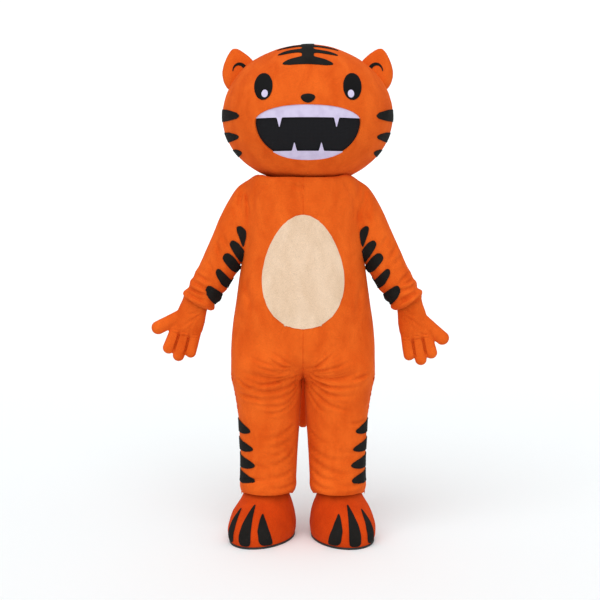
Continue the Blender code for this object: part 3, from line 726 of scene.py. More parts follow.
@dataclass(frozen=True)
class Plush:
    """Short polyester pile on a knitted back, sheared even.

    Hands and folds leave patches where the pile leans another way, which look darker or lighter,
    and light that grazes the tips of the pile gives a soft pale edge.
    """

    name: str
    lit: str
    leaning: str
    nap_mm: float = 70.0
    pile_mm: float = 2.2
    sheen: float = 0.22

    def make(self) -> bpy.types.Material:
        """Build the material.

        Returns:
            The material.
        """
        material, shader, place = new_material(
            self.name,
            Roughness=0.95,
            IOR=1.45,
            Specular_IOR_Level=0.15,
            Sheen_Weight=self.sheen,
            Sheen_Roughness=0.4,
            Sheen_Tint=linear(self.lit),
        )
        tree = material.node_tree
        # The nap lies in streaks about twice as long as they are wide
        streaks = add_node(tree, "ShaderNodeMapping", {"Scale": (1.0, 1.0, 0.55)}, {"Vector": place})
        broad = {"Scale": 1000 / self.nap_mm, "Detail": 5.0, "Roughness": 0.62, "Distortion": 0.4}
        nap = add_node(tree, "ShaderNodeTexNoise", broad, {"Vector": streaks.outputs[0]})
        fine = {"Scale": 1000 / self.pile_mm, "Detail": 3.0, "Roughness": 0.7}
        pile = add_node(tree, "ShaderNodeTexNoise", fine, {"Vector": place})
        tone = add_node(tree, "ShaderNodeValToRGB", links={"Fac": nap.outputs["Fac"]})
        set_ramp(tone, ((0.26, linear(self.leaning)), (0.66, linear(self.lit))))
        tips = add_node(tree, "ShaderNodeValToRGB", links={"Fac": pile.outputs["Fac"]})
        set_ramp(tips, ((0.32, grey(0.72)), (0.62, grey(1.0))))
        colour = add_node(
            tree,
            "ShaderNodeMix",
            {0: 1.0},
            {6: tone.outputs["Color"], 7: tips.outputs["Color"]},
            data_type="RGBA",
            blend_type="MULTIPLY",
        )
        tree.links.new(colour.outputs[2], shader.inputs["Base Color"])
        emboss(shader, (nap.outputs["Fac"], 0.5, 0.0015), (pile.outputs["Fac"], 0.55, 0.0006))
        return material


@dataclass(frozen=True)
class Felt:
    """Pressed white felt with a faint lavender cast, whose fibres give a cloudy matt face."""

    name: str
    colour: str
    shade: str
    cloud_mm: float = 25.0
    fibre_mm: float = 1.6

    def make(self) -> bpy.types.Material:
        """Build the material.

        Returns:
            The material.
        """
        material, shader, place = new_material(
            self.name, Roughness=0.9, Specular_IOR_Level=0.2, Sheen_Weight=0.1
        )
        tree = material.node_tree
        broad = {"Scale": 1000 / self.cloud_mm, "Detail": 4.0}
        clouds = add_node(tree, "ShaderNodeTexNoise", broad, {"Vector": place})
        fine = {"Scale": 1000 / self.fibre_mm, "Detail": 4.0, "Roughness": 0.75, "Distortion": 1.2}
        fibres = add_node(tree, "ShaderNodeTexNoise", fine, {"Vector": place})
        tint(shader, clouds.outputs["Fac"], ((0.3, linear(self.shade)), (0.6, linear(self.colour))))
        emboss(shader, (fibres.outputs["Fac"], 0.35, 0.0004))
        return material


@dataclass(frozen=True)
class Grained:
    """A moulded or coated surface, such as vinyl or rubber, with a fine grain pressed into it."""

    name: str
    colour: str
    worn: str
    roughness: float
    grain_mm: float
    grain_depth_mm: float
    metallic: float = 0.0
    shine: float = 0.5

    def make(self) -> bpy.types.Material:
        """Build the material.

        Returns:
            The material.
        """
        material, shader, place = new_material(
            self.name, Metallic=self.metallic, Specular_IOR_Level=self.shine
        )
        tree = material.node_tree
        broad = {"Scale": 1000 / (self.grain_mm * 14), "Detail": 6.0, "Roughness": 0.6}
        wear = add_node(tree, "ShaderNodeTexNoise", broad, {"Vector": place})
        fine = {"Scale": 1000 / self.grain_mm}
        grain = add_node(tree, "ShaderNodeTexVoronoi", fine, {"Vector": place}, feature="SMOOTH_F1")
        tint(shader, wear.outputs["Fac"], ((0.35, linear(self.colour)), (0.75, linear(self.worn))))
        span = {"To Min": self.roughness - 0.07, "To Max": self.roughness + 0.12}
        rough = add_node(tree, "ShaderNodeMapRange", span, {"Value": wear.outputs["Fac"]})
        tree.links.new(rough.outputs["Result"], shader.inputs["Roughness"])
        emboss(shader, (grain.outputs["Distance"], 0.4, self.grain_depth_mm / 1000))
        return material


@dataclass(frozen=True)
class Woven:
    """A woven or knitted cloth: crossing threads that catch the light in turn."""

    name: str
    colour: str
    shade: str
    thread_mm: float
    roughness: float = 0.8

    def make(self) -> bpy.types.Material:
        """Build the material.

        Returns:
            The material.
        """
        material, shader, place = new_material(
            self.name, Roughness=self.roughness, Specular_IOR_Level=0.25
        )
        tree = material.node_tree
        wave = {"Scale": 1000 / (self.thread_mm * 6.283), "Distortion": 0.6, "Detail": 1.0}
        threads = {
            number: add_node(
                tree, "ShaderNodeTexWave", wave, {"Vector": place}, bands_direction=direction
            ).outputs["Fac"]
            for number, direction in enumerate("XZ")
        }
        weave = add_node(tree, "ShaderNodeMath", links=threads, operation="MULTIPLY").outputs[0]
        tint(shader, weave, ((0.05, linear(self.shade)), (0.75, linear(self.colour))))
        emboss(shader, (weave, 0.5, self.thread_mm / 4000))
        return material


class Finish(Enum):
    """The finishes that the pieces are dressed in."""

    orange_plush = Plush("orange_short_pile_plush", "#ec671d", "#d6500e", sheen=0.3)
    shoe_plush = Plush("deep_orange_short_pile_plush", "#d8470a", "#c23a05")
    cream_plush = Plush("cream_short_pile_plush", "#ecd0b4", "#dcbd9e", sheen=0.12)
    black_plush = Plush("black_short_pile_plush", "#211f1d", "#151412", sheen=0.05)
    black_mesh = Woven("black_knitted_net", "#131219", "#060609", 2.4)
    white_felt = Felt("lavender_white_pressed_felt", "#cdc4e0", "#c0b6d4")
    black_vinyl = Grained("black_calendered_vinyl", "#050505", "#0a090b", 0.55, 1.2, 0.04, shine=0.12)
    sole_rubber = Grained("black_moulded_foam_rubber", "#141312", "#252220", 0.6, 1.6, 0.3)
    zip_cloth = Woven("orange_woven_zip_tape", "#d9601c", "#b8480f", 1.0)
    zip_metal = Grained("nickel_plated_zinc", "#b9b4aa", "#9c968b", 0.3, 0.5, 0.02, metallic=1.0)


MATERIALS: dict[Finish, bpy.types.Material] = {}


def dressed(finish: Finish) -> bpy.types.Material:
    """Get a finish's material, made the first time it is asked for.

    Args:
        finish: The finish.

    Returns:
        The material.
    """
    if finish not in MATERIALS:
        MATERIALS[finish] = finish.value.make()
    return MATERIALS[finish]


@dataclass
class Cut:
    """The flat size that a cloth piece was cut to, and how much of that rectangle it fills."""

    width: float
    length: float
    fill: float = 0.78
    held: str = "draped"

    @classmethod
    def measured(cls, sheet: Thing, held: str = "laid") -> "Cut":
        """Measure a small patch, which curves too little to differ from its flat cut.

        Args:
            sheet: The patch, before it gets its thickness.
            held: How it is held.

        Returns:
            Its cut.
        """
        points = points_of(sheet)
        axes = np.linalg.svd(points - points.mean(axis=0), full_matrices=False)[2]
        spans = np.ptp(points @ axes[:2].T, axis=0)
        area = face_data(sheet)[2].sum()
        grow = max(1.0, math.sqrt(area / 0.95 / (spans[0] * spans[1])))
        width, length = sorted(float(max(0.0105, span * grow)) for span in spans)
        return cls(width, length, float(area / (width * length)), held)

    def declare(self, obj: Thing, *rests_on: str) -> None:
        """Take a piece of this cut and what it lies on, and do nothing with them.

        Args:
            obj: The piece; not used.
            rests_on: What it lies on; not used.
        """


def sew_on(
    patch: Thing,
    thickness: float,
    finish: Finish,
    nodes: Sequence[str],
    rests_on: Sequence[str],
    edge: float = 0.0,
) -> None:
    """Args:
        patch: The patch, still a sheet.
        thickness: How thick it is.
        finish: Its finish.
        nodes: The CAD nodes that it replaces.
        rests_on: The pieces that it is sewn on.
        edge: How far its edge is rounded, if it is.
    """
    cut = Cut.measured(patch)
    thicken(patch, thickness, outward=True)
    if edge:
        ease_edges(patch, edge)
    complete(patch, finish, *nodes)
    cut.declare(patch, *rests_on)


def complete(obj: Thing, finish: Finish, *nodes: str) -> None:
    """Dress a piece, attach it to the costume's body, and hide the CAD nodes that it stands for.

    Args:
        obj: The finished piece.
        finish: Its finish.
        nodes: The CAD nodes that it replaces.
    """
    obj.data.materials.clear()
    obj.data.materials.append(dressed(finish))
    alone(obj)
    bpy.ops.object.shade_smooth_by_angle(angle=math.radians(50))
    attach(obj, BODY)
    if nodes:
        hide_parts(*nodes)
    LOG.info("%s: %d faces", obj.name, len(obj.data.polygons))


# The head


@dataclass
class Head:
    """The foam head with its plush cover, ears, face and stripes."""

    centre: Vector = field(default_factory=lambda: Vector((0.018, 0.0, 0.340)))
    half_width: float = 0.329
    half_depth: float = 0.275
    crown: float = 0.271
    chin: float = 0.264
    rim: float = 0.2442
    foam: float = 0.010
    seam_rounding: float = 0.0026
    segments: int = 96
    rings: int = 48
    mouth_half_width: float = 0.196
    mouth_middle: float = -0.040
    mouth_rise: float = 0.058
    mouth_drop: float = 0.140
    screen_recess: float = 0.0085
    tooth_recess: float = 0.0042
    teeth: tuple[tuple[str, float, float, float], ...] = (
        # name, the gum's height, how far out each fang stands, a fang's length
        ("upper", -0.028, 0.105, 0.034),
        ("lower", -0.148, 0.050, 0.030),
    )
    fang_profile: Outline = (
        # across, share of the length
        (0.0115, 0.0),
        (0.0085, 0.12),
        (0.0012, 0.97),
        (-0.0012, 0.97),
        (-0.0085, 0.12),
        (-0.0115, 0.0),
    )
    glint_place: tuple[float, float] = (0.156, 0.060)
    glint_half_size: tuple[float, float] = (0.0115, 0.0140)
    ear_place: Place = (0.262, -0.008, 0.173)
    ear_half_size: Place = (0.072, 0.036, 0.092)
    ear_tilt: float = math.radians(14)
    ear_taper: float = 0.24
    ear_point: float = 0.20
    mark_forward: float = math.radians(3.2)
    cheek_slants: tuple[tuple[float, float], ...] = ((0.12, 0.020), (0.10, 0.011), (0.06, 0.002))
    nose_place: tuple[float, float] = (0.0, 0.040)
    nose_half_size: Place = (0.027, 0.014, 0.018)
    nose_widening: float = 0.28
    nose_swell: float = 0.0012
    ear_swell: float = 0.003
    arc_reach: float = 0.0255
    arc_thickness: tuple[float, float] = (0.0035, 0.0125)
    form: Thing | None = None

    def heights(self, z: np.ndarray | float) -> np.ndarray:
        """The half height that holds above or below the head's middle."""
        return np.where(np.asarray(z) > 0, self.crown, self.chin)

    def mouth_point(self, turn: np.ndarray, grow: float = 0.0) -> tuple[np.ndarray, np.ndarray]:
        """Find points of the open smile: a shallow arc above its widest line, a deep one below.

        Args:
            turn: Angles round the mouth.
            grow: How far outside the outline the points lie.

        Returns:
            The places across and up.
        """
        reach = np.where(np.sin(turn) > 0, self.mouth_rise, self.mouth_drop) + grow
        across = np.sign(np.cos(turn)) * np.abs(np.cos(turn)) ** 0.85
        return (self.mouth_half_width + grow) * across, self.mouth_middle + reach * np.sin(turn)

    def on_face(self, x: np.ndarray, z: np.ndarray, lift: float = 0.0) -> np.ndarray:
        """Find points of the face.

        Args:
            x: Places across, from the head's middle.
            z: Places up, from the head's middle.
            lift: How far above the face they lie.

        Returns:
            The points, in the costume's frame.
        """
        x, z = np.asarray(x, float), np.asarray(z, float)
        height = self.heights(z)
        rest = np.maximum(1 - (x / self.half_width) ** 2 - (z / height) ** 2, 0)
        y = -self.half_depth * np.sqrt(rest)
        normal = np.stack([x / self.half_width**2, y / self.half_depth**2, z / height**2], axis=-1)
        normal /= np.linalg.norm(normal, axis=-1, keepdims=True)
        return np.stack([x, y, z], axis=-1) + normal * lift + np.array(self.centre)

    def make_form(self) -> None:
        """Shape a sphere into the head, with its face rings drawn round the mouth."""
        ball = bpy.ops.mesh.primitive_uv_sphere_add
        upright = (math.pi / 2, 0, 0)
        form = add_shape(
            ball, "head_form", segments=self.segments, ring_count=self.rings, radius=1, rotation=upright
        )
        placed(form, Matrix.Identity(4))
        centres = face_data(form)[0]
        first = math.pi / self.rings
        keep_faces(form, centres[:, 1] > -math.cos(first * 0.9))
        points = points_of(form)
        tilt = np.arccos(np.clip(-points[:, 1], -1, 1))
        turn = np.arctan2(points[:, 2], points[:, 0])
        front = points[:, 1] < 1e-4
        mouth_x, mouth_z = self.mouth_point(turn)
        flat = np.stack([mouth_x / self.half_width, mouth_z / self.heights(mouth_z)], axis=1)
        far = np.linalg.norm(flat, axis=1, keepdims=True)
        inner = flat / far * np.arcsin(far)
        outer = np.stack([np.cos(turn), np.sin(turn)], axis=1) * math.pi / 2
        share = ((tilt - first) / (math.pi / 2 - first))[:, None]
        drawn = inner + (outer - inner) * np.clip(share, 0, 1)
        far = np.linalg.norm(drawn, axis=1)
        unit = drawn / far[:, None]
        points[front, 0] = (unit[:, 0] * np.sin(far))[front]
        points[front, 2] = (unit[:, 1] * np.sin(far))[front]
        points[front, 1] = -np.cos(far)[front]
        points[:, 2] *= self.heights(points[:, 2])
        points[:, 0] *= self.half_width
        points[:, 1] *= self.half_depth
        set_points(form, points)
        modify(form, "SUBSURF", levels=1, render_levels=1)
        points, normals = points_of(form), normals_of(form)
        if np.sum(points * normals) < 0:
            flip(form)
            normals = -normals
        # The foam is stiff, but its cover isn't quite even
        uneven = 0.0016 * waves(points, 0.19, 3) + 0.0005 * waves(points, 0.045, 4)
        set_points(form, points + normals * uneven[:, None] + np.array(self.centre))
        bisect(form, (0, 0, self.centre.z - self.rim), (0, 0, -1), clear=True)
        self.form = form

    def make_panels(self) -> None:
        """Divide the form into its four panels and give each its foam."""
        centres = face_data(self.form)[0] - np.array(self.centre)
        for part, facing in (("front", -1), ("back", 1)):
            for label, side in SIDES:
                panel = copy_of(self.form, f"head_cover_{part}_{label}")
                keep_faces(panel, (centres[:, 0] * side > 0) & (centres[:, 1] * facing > 0))
                thicken(panel, self.foam)
                ease_edges(panel, self.seam_rounding, 3)
                complete(panel, Finish.orange_plush, f"head_{part}_{label}")

    def make_mouth(self) -> None:
        """Fill the mouth with its dark net and two white tooth bands with fangs."""
        turn = np.linspace(0, 2 * math.pi, 145)[:-1]
        x, z = self.mouth_point(turn, 0.0012)
        screen = cut_patch("mouth_net", list(zip(x, z)), 0.012)
        self.curve(screen, -self.screen_recess)
        cut = Cut.measured(screen, "stretched")
        thicken(screen, 0.0012)
        complete(screen, Finish.black_mesh, "mouth_screen")
        cut.declare(screen)
        for name, edge, place, length in self.teeth:
            outline = self.tooth_outline(x, z, edge, place, length, name == "upper")
            band = cut_patch(f"tooth_band_{name}", outline, 0.012)
            self.curve(band, -self.tooth_recess)
            sew_on(band, THIN_PATCH, Finish.white_felt, [f"teeth_{name}"], ["mouth_net"])

    def curve(self, patch: Thing, lift: float) -> None:
        """Curve a flat patch like the face.

        Args:
            patch: The patch.
            lift: How far above the face it lies.
        """
        flat = points_of(patch)
        set_points(patch, self.on_face(flat[:, 0], flat[:, 2], lift))

    def tooth_outline(
        self, x: np.ndarray, z: np.ndarray, edge: float, place: float, length: float, upper: bool
    ) -> Outline:
        """Draw a tooth band: the part of the mouth beyond a level line, with two fangs on it.

        Args:
            x: The mouth outline's places across.
            z: The mouth outline's places up.
            edge: The line's height.
            place: How far from the middle each fang stands.
            length: How long a fang is.
            upper: Whether the band is the upper one.

        Returns:
            The band's outline.
        """
        turn = 1 if upper else -1
        arc = sorted((a, b) for a, b in zip(x, z) if turn * (b - edge) > 0.001)
        fangs = []
        for middle in (place, -place):
            for across, down in self.fang_profile:
                fangs.append((middle + across, edge - turn * down * length))
        ends = [(arc[-1][0] + 0.0004, edge), *fangs, (arc[0][0] - 0.0004, edge)]
        return arc + ends

    def make_eyes(self) -> None:
        """Lay the oval eyes on the face, each with a small pale glint low in it."""
        for label, side in SIDES:
            eye = outer_sheet(f"eye_{label}", f"eye_oval_{label}", self.centre)
            round_out(eye, 3)
            lay_on(eye, self.form)
            cover = f"head_cover_front_{label}"
            sew_on(eye, 0.0014, Finish.black_vinyl, [f"eye_{label}"], [cover], 0.0006)
            turn = np.linspace(0, 2 * math.pi, 25)[:-1]
            (x, z), (half_width, half_height) = self.glint_place, self.glint_half_size
            outline = [(side * x + half_width * math.cos(t), z + half_height * math.sin(t)) for t in turn]
            glint = cut_patch(f"eye_glint_{label}", outline, 0.006)
            self.curve(glint, 0.012)
            lay_on(glint, eye, 0.0002)
            sew_on(glint, 0.0008, Finish.white_felt, [], [eye.name])

    def make_marks(self) -> None:
        """Lay the forehead bars and the cheek stripes on the cover."""
        mark = outer_sheet("forehead_mark", "forehead_bars", self.centre)
        round_out(mark, 3, passes=1)
        middle = Matrix.Translation(self.centre)
        placed(mark, middle @ Matrix.Rotation(self.mark_forward, 4, "X") @ middle.inverted())
        lay_on(mark, self.form)
        covers = ["head_cover_front_left", "head_cover_front_right"]
        sew_on(mark, PATCH, Finish.black_plush, ["forehead_mark"], covers)
        for label, side in SIDES:
            for number, slant in enumerate(self.cheek_slants, 1):
                node = f"cheek_stripe_{label}_{number}"
                stripe = outer_sheet(node, f"cheek_bar_{label}_{number}", self.centre)
                round_out(stripe, 2, passes=1)
                self.droop(stripe, side, *slant)
                lay_on(stripe, self.form)
                sew_on(stripe, PATCH, Finish.black_plush, [node], [f"head_cover_front_{label}"])

    def droop(self, stripe: Thing, side: int, forward: float, down: float) -> None:
        """Draw a cheek stripe's front end forward and down, so that it narrows to a low tip.

        Args:
            stripe: The stripe.
            side: The side's sign.
            forward: How far the tip turns forward, in radians.
            down: How far the tip drops.
        """
        points = points_of(stripe) - np.array(self.centre)
        azimuth = np.arctan2(side * points[:, 0], -points[:, 1])
        share = (azimuth.max() - azimuth) / np.ptp(azimuth)
        turn = -side * forward * share
        x, y = points[:, 0].copy(), points[:, 1].copy()
        points[:, 0] = x * np.cos(turn) - y * np.sin(turn)
        points[:, 1] = x * np.sin(turn) + y * np.cos(turn)
        points[:, 2] -= down * share**1.5
        set_points(stripe, points + np.array(self.centre))

    def make_nose(self) -> None:
        """Sew a small stuffed pad, wider at its top, on the middle of the face."""
        ball = bpy.ops.mesh.primitive_uv_sphere_add
        nose = add_shape(ball, "nose_pad", segments=32, ring_count=20, radius=1)
        points = points_of(nose)
        points[:, 0] *= 1 + self.nose_widening * points[:, 2]
        points *= np.array(self.nose_half_size) - self.nose_swell
        place = self.on_face(*self.nose_place)
        set_points(nose, points + place)
        pad_out(nose, 0.002, self.nose_swell)
        complete(nose, Finish.black_plush, "nose")

    def make_ears(self) -> None:
        """Stuff the ears, and lay a thin black arc inside each."""
        for label, side in SIDES:
            ball = bpy.ops.mesh.primitive_uv_sphere_add
            ear = add_shape(ball, f"stuffed_ear_{label}", segments=48, ring_count=32, radius=1)
            points = points_of(ear)
            narrowing = 1 - self.ear_taper * points[:, 2]
            narrowing -= self.ear_point * np.clip((points[:, 2] - 0.1) / 0.9, 0, 1) ** 1.5
            points[:, 0] *= narrowing
            points[:, 1] *= narrowing
            # The seam round the rim pulls the edge thin, and the front is a little hollow
            rim = np.sqrt(points[:, 0] ** 2 + points[:, 2] ** 2)
            points[:, 1] *= np.sqrt(np.clip(1.08 - rim**4 * 0.35, 0, 1))
            hollow = (points[:, 1] < 0) * np.exp(-((rim / 0.55) ** 2)) * 0.30
            points[:, 1] += hollow
            points *= np.array(self.ear_half_size) - self.ear_swell
            set_points(ear, points)
            stand = self.centre + Vector((side * self.ear_place[0], *self.ear_place[1:]))
            place = Matrix.Translation(stand) @ Matrix.Rotation(side * self.ear_tilt, 4, "Y")
            placed(ear, place)
            pad_out(ear, 0.005, self.ear_swell)
            complete(ear, Finish.orange_plush, f"ear_{label}")
            self.make_ear_arc(label, side, place, ear)

    def make_ear_arc(self, label: str, side: int, place: Matrix, ear: Thing) -> None:
        """Lay the arc inside one ear: thick on the head's side, thin on the other.

        Args:
            label: The side's name.
            side: The side's sign.
            place: The ear's place and turn.
            ear: The ear.
        """
        upper, lower = [], []
        thin, swell = self.arc_thickness
        for share in np.linspace(0, 1, 14):
            angle = math.radians(176 - 158 * share)
            thickness = thin + swell * (1 - share) ** 1.1 * min(1, 0.75 + share * 3)
            for edge, sign in ((upper, 1), (lower, -1)):
                reach = self.arc_reach + sign * thickness / 2
                edge.append((side * reach * math.cos(angle), -0.008 + 1.18 * reach * math.sin(angle)))
        arc = cut_patch(f"ear_arc_{label}", upper + lower[::-1], 0.007)
        points = points_of(arc)
        points[:, 1] = -0.06
        set_points(arc, points)
        placed(arc, place)
        face_front(arc)
        modify(
            arc,
            "SHRINKWRAP",
            target=ear,
            wrap_method="PROJECT",
            use_project_y=True,
            use_positive_direction=True,
            use_negative_direction=False,
            offset=0.0006,
        )
        sew_on(arc, THIN_PATCH, Finish.black_plush, [], [ear.name])

    def build(self) -> None:
        """Build the whole head."""
        self.make_form()
        self.make_panels()
        self.make_mouth()
        self.make_eyes()
        self.make_marks()
        self.make_nose()
        self.make_ears()
        bpy.data.objects.remove(self.form, do_unlink=True)


# The suit


FRONT_CREASES = creases(
    # depth_mm, width_mm, path_mm
    # Hips and thighs: creases that fan out from the crotch, on the wearer's right and then left
    (3.9, 7, (-24, 681), (-63, 705), (-101, 732), (-140, 753)),
    (4.2, 7, (-28, 674), (-80, 690), (-123, 709), (-161, 723)),
    (4.5, 8, (-37, 671), (-118, 693), (-200, 721), (-230, 740)),
    (5.6, 8, (-24, 662), (-75, 663), (-128, 671), (-196, 692)),
    (6.0, 8, (-9, 653), (-45, 641), (-114, 623), (-161, 617), (-232, 643)),
    (5.6, 8, (-8, 645), (-28, 621), (-88, 594), (-153, 586), (-240, 608)),
    (7.4, 9, (-242, 570), (-204, 564), (-157, 554), (-120, 556)),
    (4.2, 7, (-24, 604), (-50, 577), (-97, 559), (-140, 560)),
    (5.6, 8, (-22, 586), (-45, 551), (-80, 531), (-131, 528), (-217, 546)),
    (4.9, 8, (-22, 564), (-45, 533), (-71, 515), (-110, 502), (-174, 506)),
    (6.3, 8, (-250, 632), (-215, 606), (-170, 601)),
    (3.9, 7, (23, 674), (62, 694), (105, 732), (130, 760)),
    (4.9, 7, (28, 665), (84, 674), (148, 692), (200, 716)),
    (5.2, 7, (20, 657), (62, 642), (127, 641), (190, 652)),
    (6.0, 8, (14, 648), (62, 621), (105, 607), (170, 603), (240, 610)),
    (5.6, 8, (16, 635), (54, 604), (92, 579), (148, 568), (220, 572)),
    (5.6, 8, (19, 617), (49, 577), (84, 546), (140, 520), (213, 503)),
    (4.5, 7, (19, 582), (41, 546), (66, 515), (109, 493)),
    (6.0, 8, (248, 650), (215, 640), (180, 628)),
    # Lower legs
    (6.0, 9, (-37, 444), (-88, 413), (-144, 400), (-190, 402)),
    (6.6, 8, (-45, 391), (-97, 372), (-151, 356)),
    (4.5, 7, (-63, 352), (-123, 334), (-174, 343)),
    (8.0, 8, (-37, 343), (-63, 321), (-110, 298), (-161, 289)),
    (6.6, 7, (-185, 303), (-157, 284), (-130, 280)),
    (6.3, 9, (-40, 268), (-97, 249), (-174, 258)),
    (6.6, 9, (-222, 233), (-157, 239), (-88, 226)),
    (6.0, 9, (-30, 215), (-80, 205), (-150, 214)),
    (4.9, 8, (23, 427), (66, 391), (118, 374)),
    (7.4, 9, (23, 360), (66, 336), (127, 316), (180, 314)),
    (7.4, 9, (36, 315), (105, 274), (161, 262), (212, 265)),
    (6.0, 8, (28, 281), (62, 250), (127, 236)),
    (5.6, 8, (240, 468), (205, 458), (165, 470)),
    (6.3, 9, (225, 222), (170, 216), (110, 224)),
    (5.6, 9, (35, 222), (80, 205), (140, 210)),
    (5.2, 8, (205, 345), (165, 352), (130, 346)),
    # Chest and waist: broad and shallow
    (4.2, 16, (-225, 1010), (-205, 930), (-195, 850)),
    (4.2, 16, (228, 1000), (212, 920), (205, 850)),
    (5.6, 9, (-40, 1374), (-20, 1362), (10, 1368)),
    (3.9, 14, (-150, 1385), (-185, 1330), (-196, 1250)),
    (3.9, 14, (160, 1385), (190, 1330), (198, 1250)),
)

SLEEVE_CREASES = creases(
    # depth_mm, width_mm, path_mm
    # The wearer's right sleeve, from its seam to its cuff
    (5.1, 8, (-219, 1347), (-209, 1285), (-212, 1232)),
    (5.7, 9, (-229, 1358), (-241, 1310), (-236, 1259), (-233, 1226)),
    (6.0, 12, (-241, 1343), (-258, 1277), (-262, 1230)),
    (4.2, 8, (-249, 1226), (-245, 1197), (-240, 1175)),
    (5.4, 9, (-308, 1182), (-293, 1146), (-284, 1116)),
    (5.7, 9, (-336, 1155), (-322, 1120), (-318, 1080)),
    (4.8, 9, (-366, 1080), (-348, 1043), (-345, 1015)),
    (7.8, 9, (-412, 1032), (-381, 1014), (-352, 998)),
    (8.1, 9, (-425, 1004), (-374, 978), (-348, 956), (-322, 945)),
    (6.6, 8, (-440, 978), (-392, 960), (-352, 946)),
    (8.4, 9, (-452, 962), (-410, 942), (-377, 926), (-350, 905)),
    (6.9, 8, (-462, 944), (-425, 922), (-392, 900), (-370, 888)),
    # The wearer's left sleeve
    (5.7, 9, (241, 1358), (234, 1303), (236, 1241)),
    (4.8, 8, (228, 1310), (215, 1266), (212, 1212)),
    (5.1, 11, (250, 1330), (252, 1241), (262, 1197)),
    (6.0, 9, (360, 1142), (338, 1102), (323, 1080)),
    (5.1, 9, (382, 1106), (360, 1080), (338, 1065)),
    (4.2, 9, (323, 1175), (309, 1153), (301, 1130)),
    (7.2, 9, (412, 1036), (382, 1011), (365, 990)),
    (7.8, 9, (434, 992), (408, 978), (378, 970), (342, 958)),
    (8.4, 9, (444, 966), (408, 945), (367, 919), (350, 900)),
    (7.5, 9, (456, 948), (420, 922), (385, 898)),
    (5.4, 8, (425, 1012), (395, 998), (362, 996)),
)


def turned_back(crease: Crease, shift_mm: float) -> Crease:
    """Make the crease that the back has where the front has this one.

    Args:
        crease: A crease of the front.
        shift_mm: How much higher the back's one is.

    Returns:
        The back's crease, on the other side.
    """
    path = tuple((-x, z + shift_mm) for x, z in crease.path)
    return Crease(path, crease.depth_mm * 0.9, crease.width_mm * 1.1, Facing.BACK)


SIDE_CREASES = tuple(
    Crease(path, depth, width, facing)
    for facing in (Facing.LEFT, Facing.RIGHT)
    for path, depth, width in (
        (((-70, 640), (0, 618), (70, 632)), 3.4, 10),
        (((80, 575), (10, 560), (-60, 548)), 3.4, 10),
        (((-70, 520), (0, 508), (60, 524)), 2.8, 10),
    )
)


def fan(seed: int, side: int, count: int) -> tuple[Crease, ...]:
    """Draw fine creases that fan out from the crotch over one thigh.

    Args:
        seed: Which of the possible fans it is.
        side: The side's sign.
        count: How many creases there are.

    Returns:
        The creases.
    """
    draw = np.random.default_rng(seed)
    made = []
    for angle in np.linspace(-68, 48, count):
        turn = math.radians(angle + draw.uniform(-3, 3))
        start, reach, sag = draw.uniform(14, 70), draw.uniform(110, 215), draw.uniform(4, 22)
        path = []
        for share in (0.0, 0.33, 0.67, 1.0):
            far = start + (reach - start) * share
            drop = sag * (1 - (2 * share - 1) ** 2)
            path.append((side * far * math.cos(turn), 662 + far * math.sin(turn) * 0.8 - drop))
        made.append(Crease(tuple(path), draw.uniform(1.6, 3.2), draw.uniform(3.6, 5.5)))
    return tuple(made)


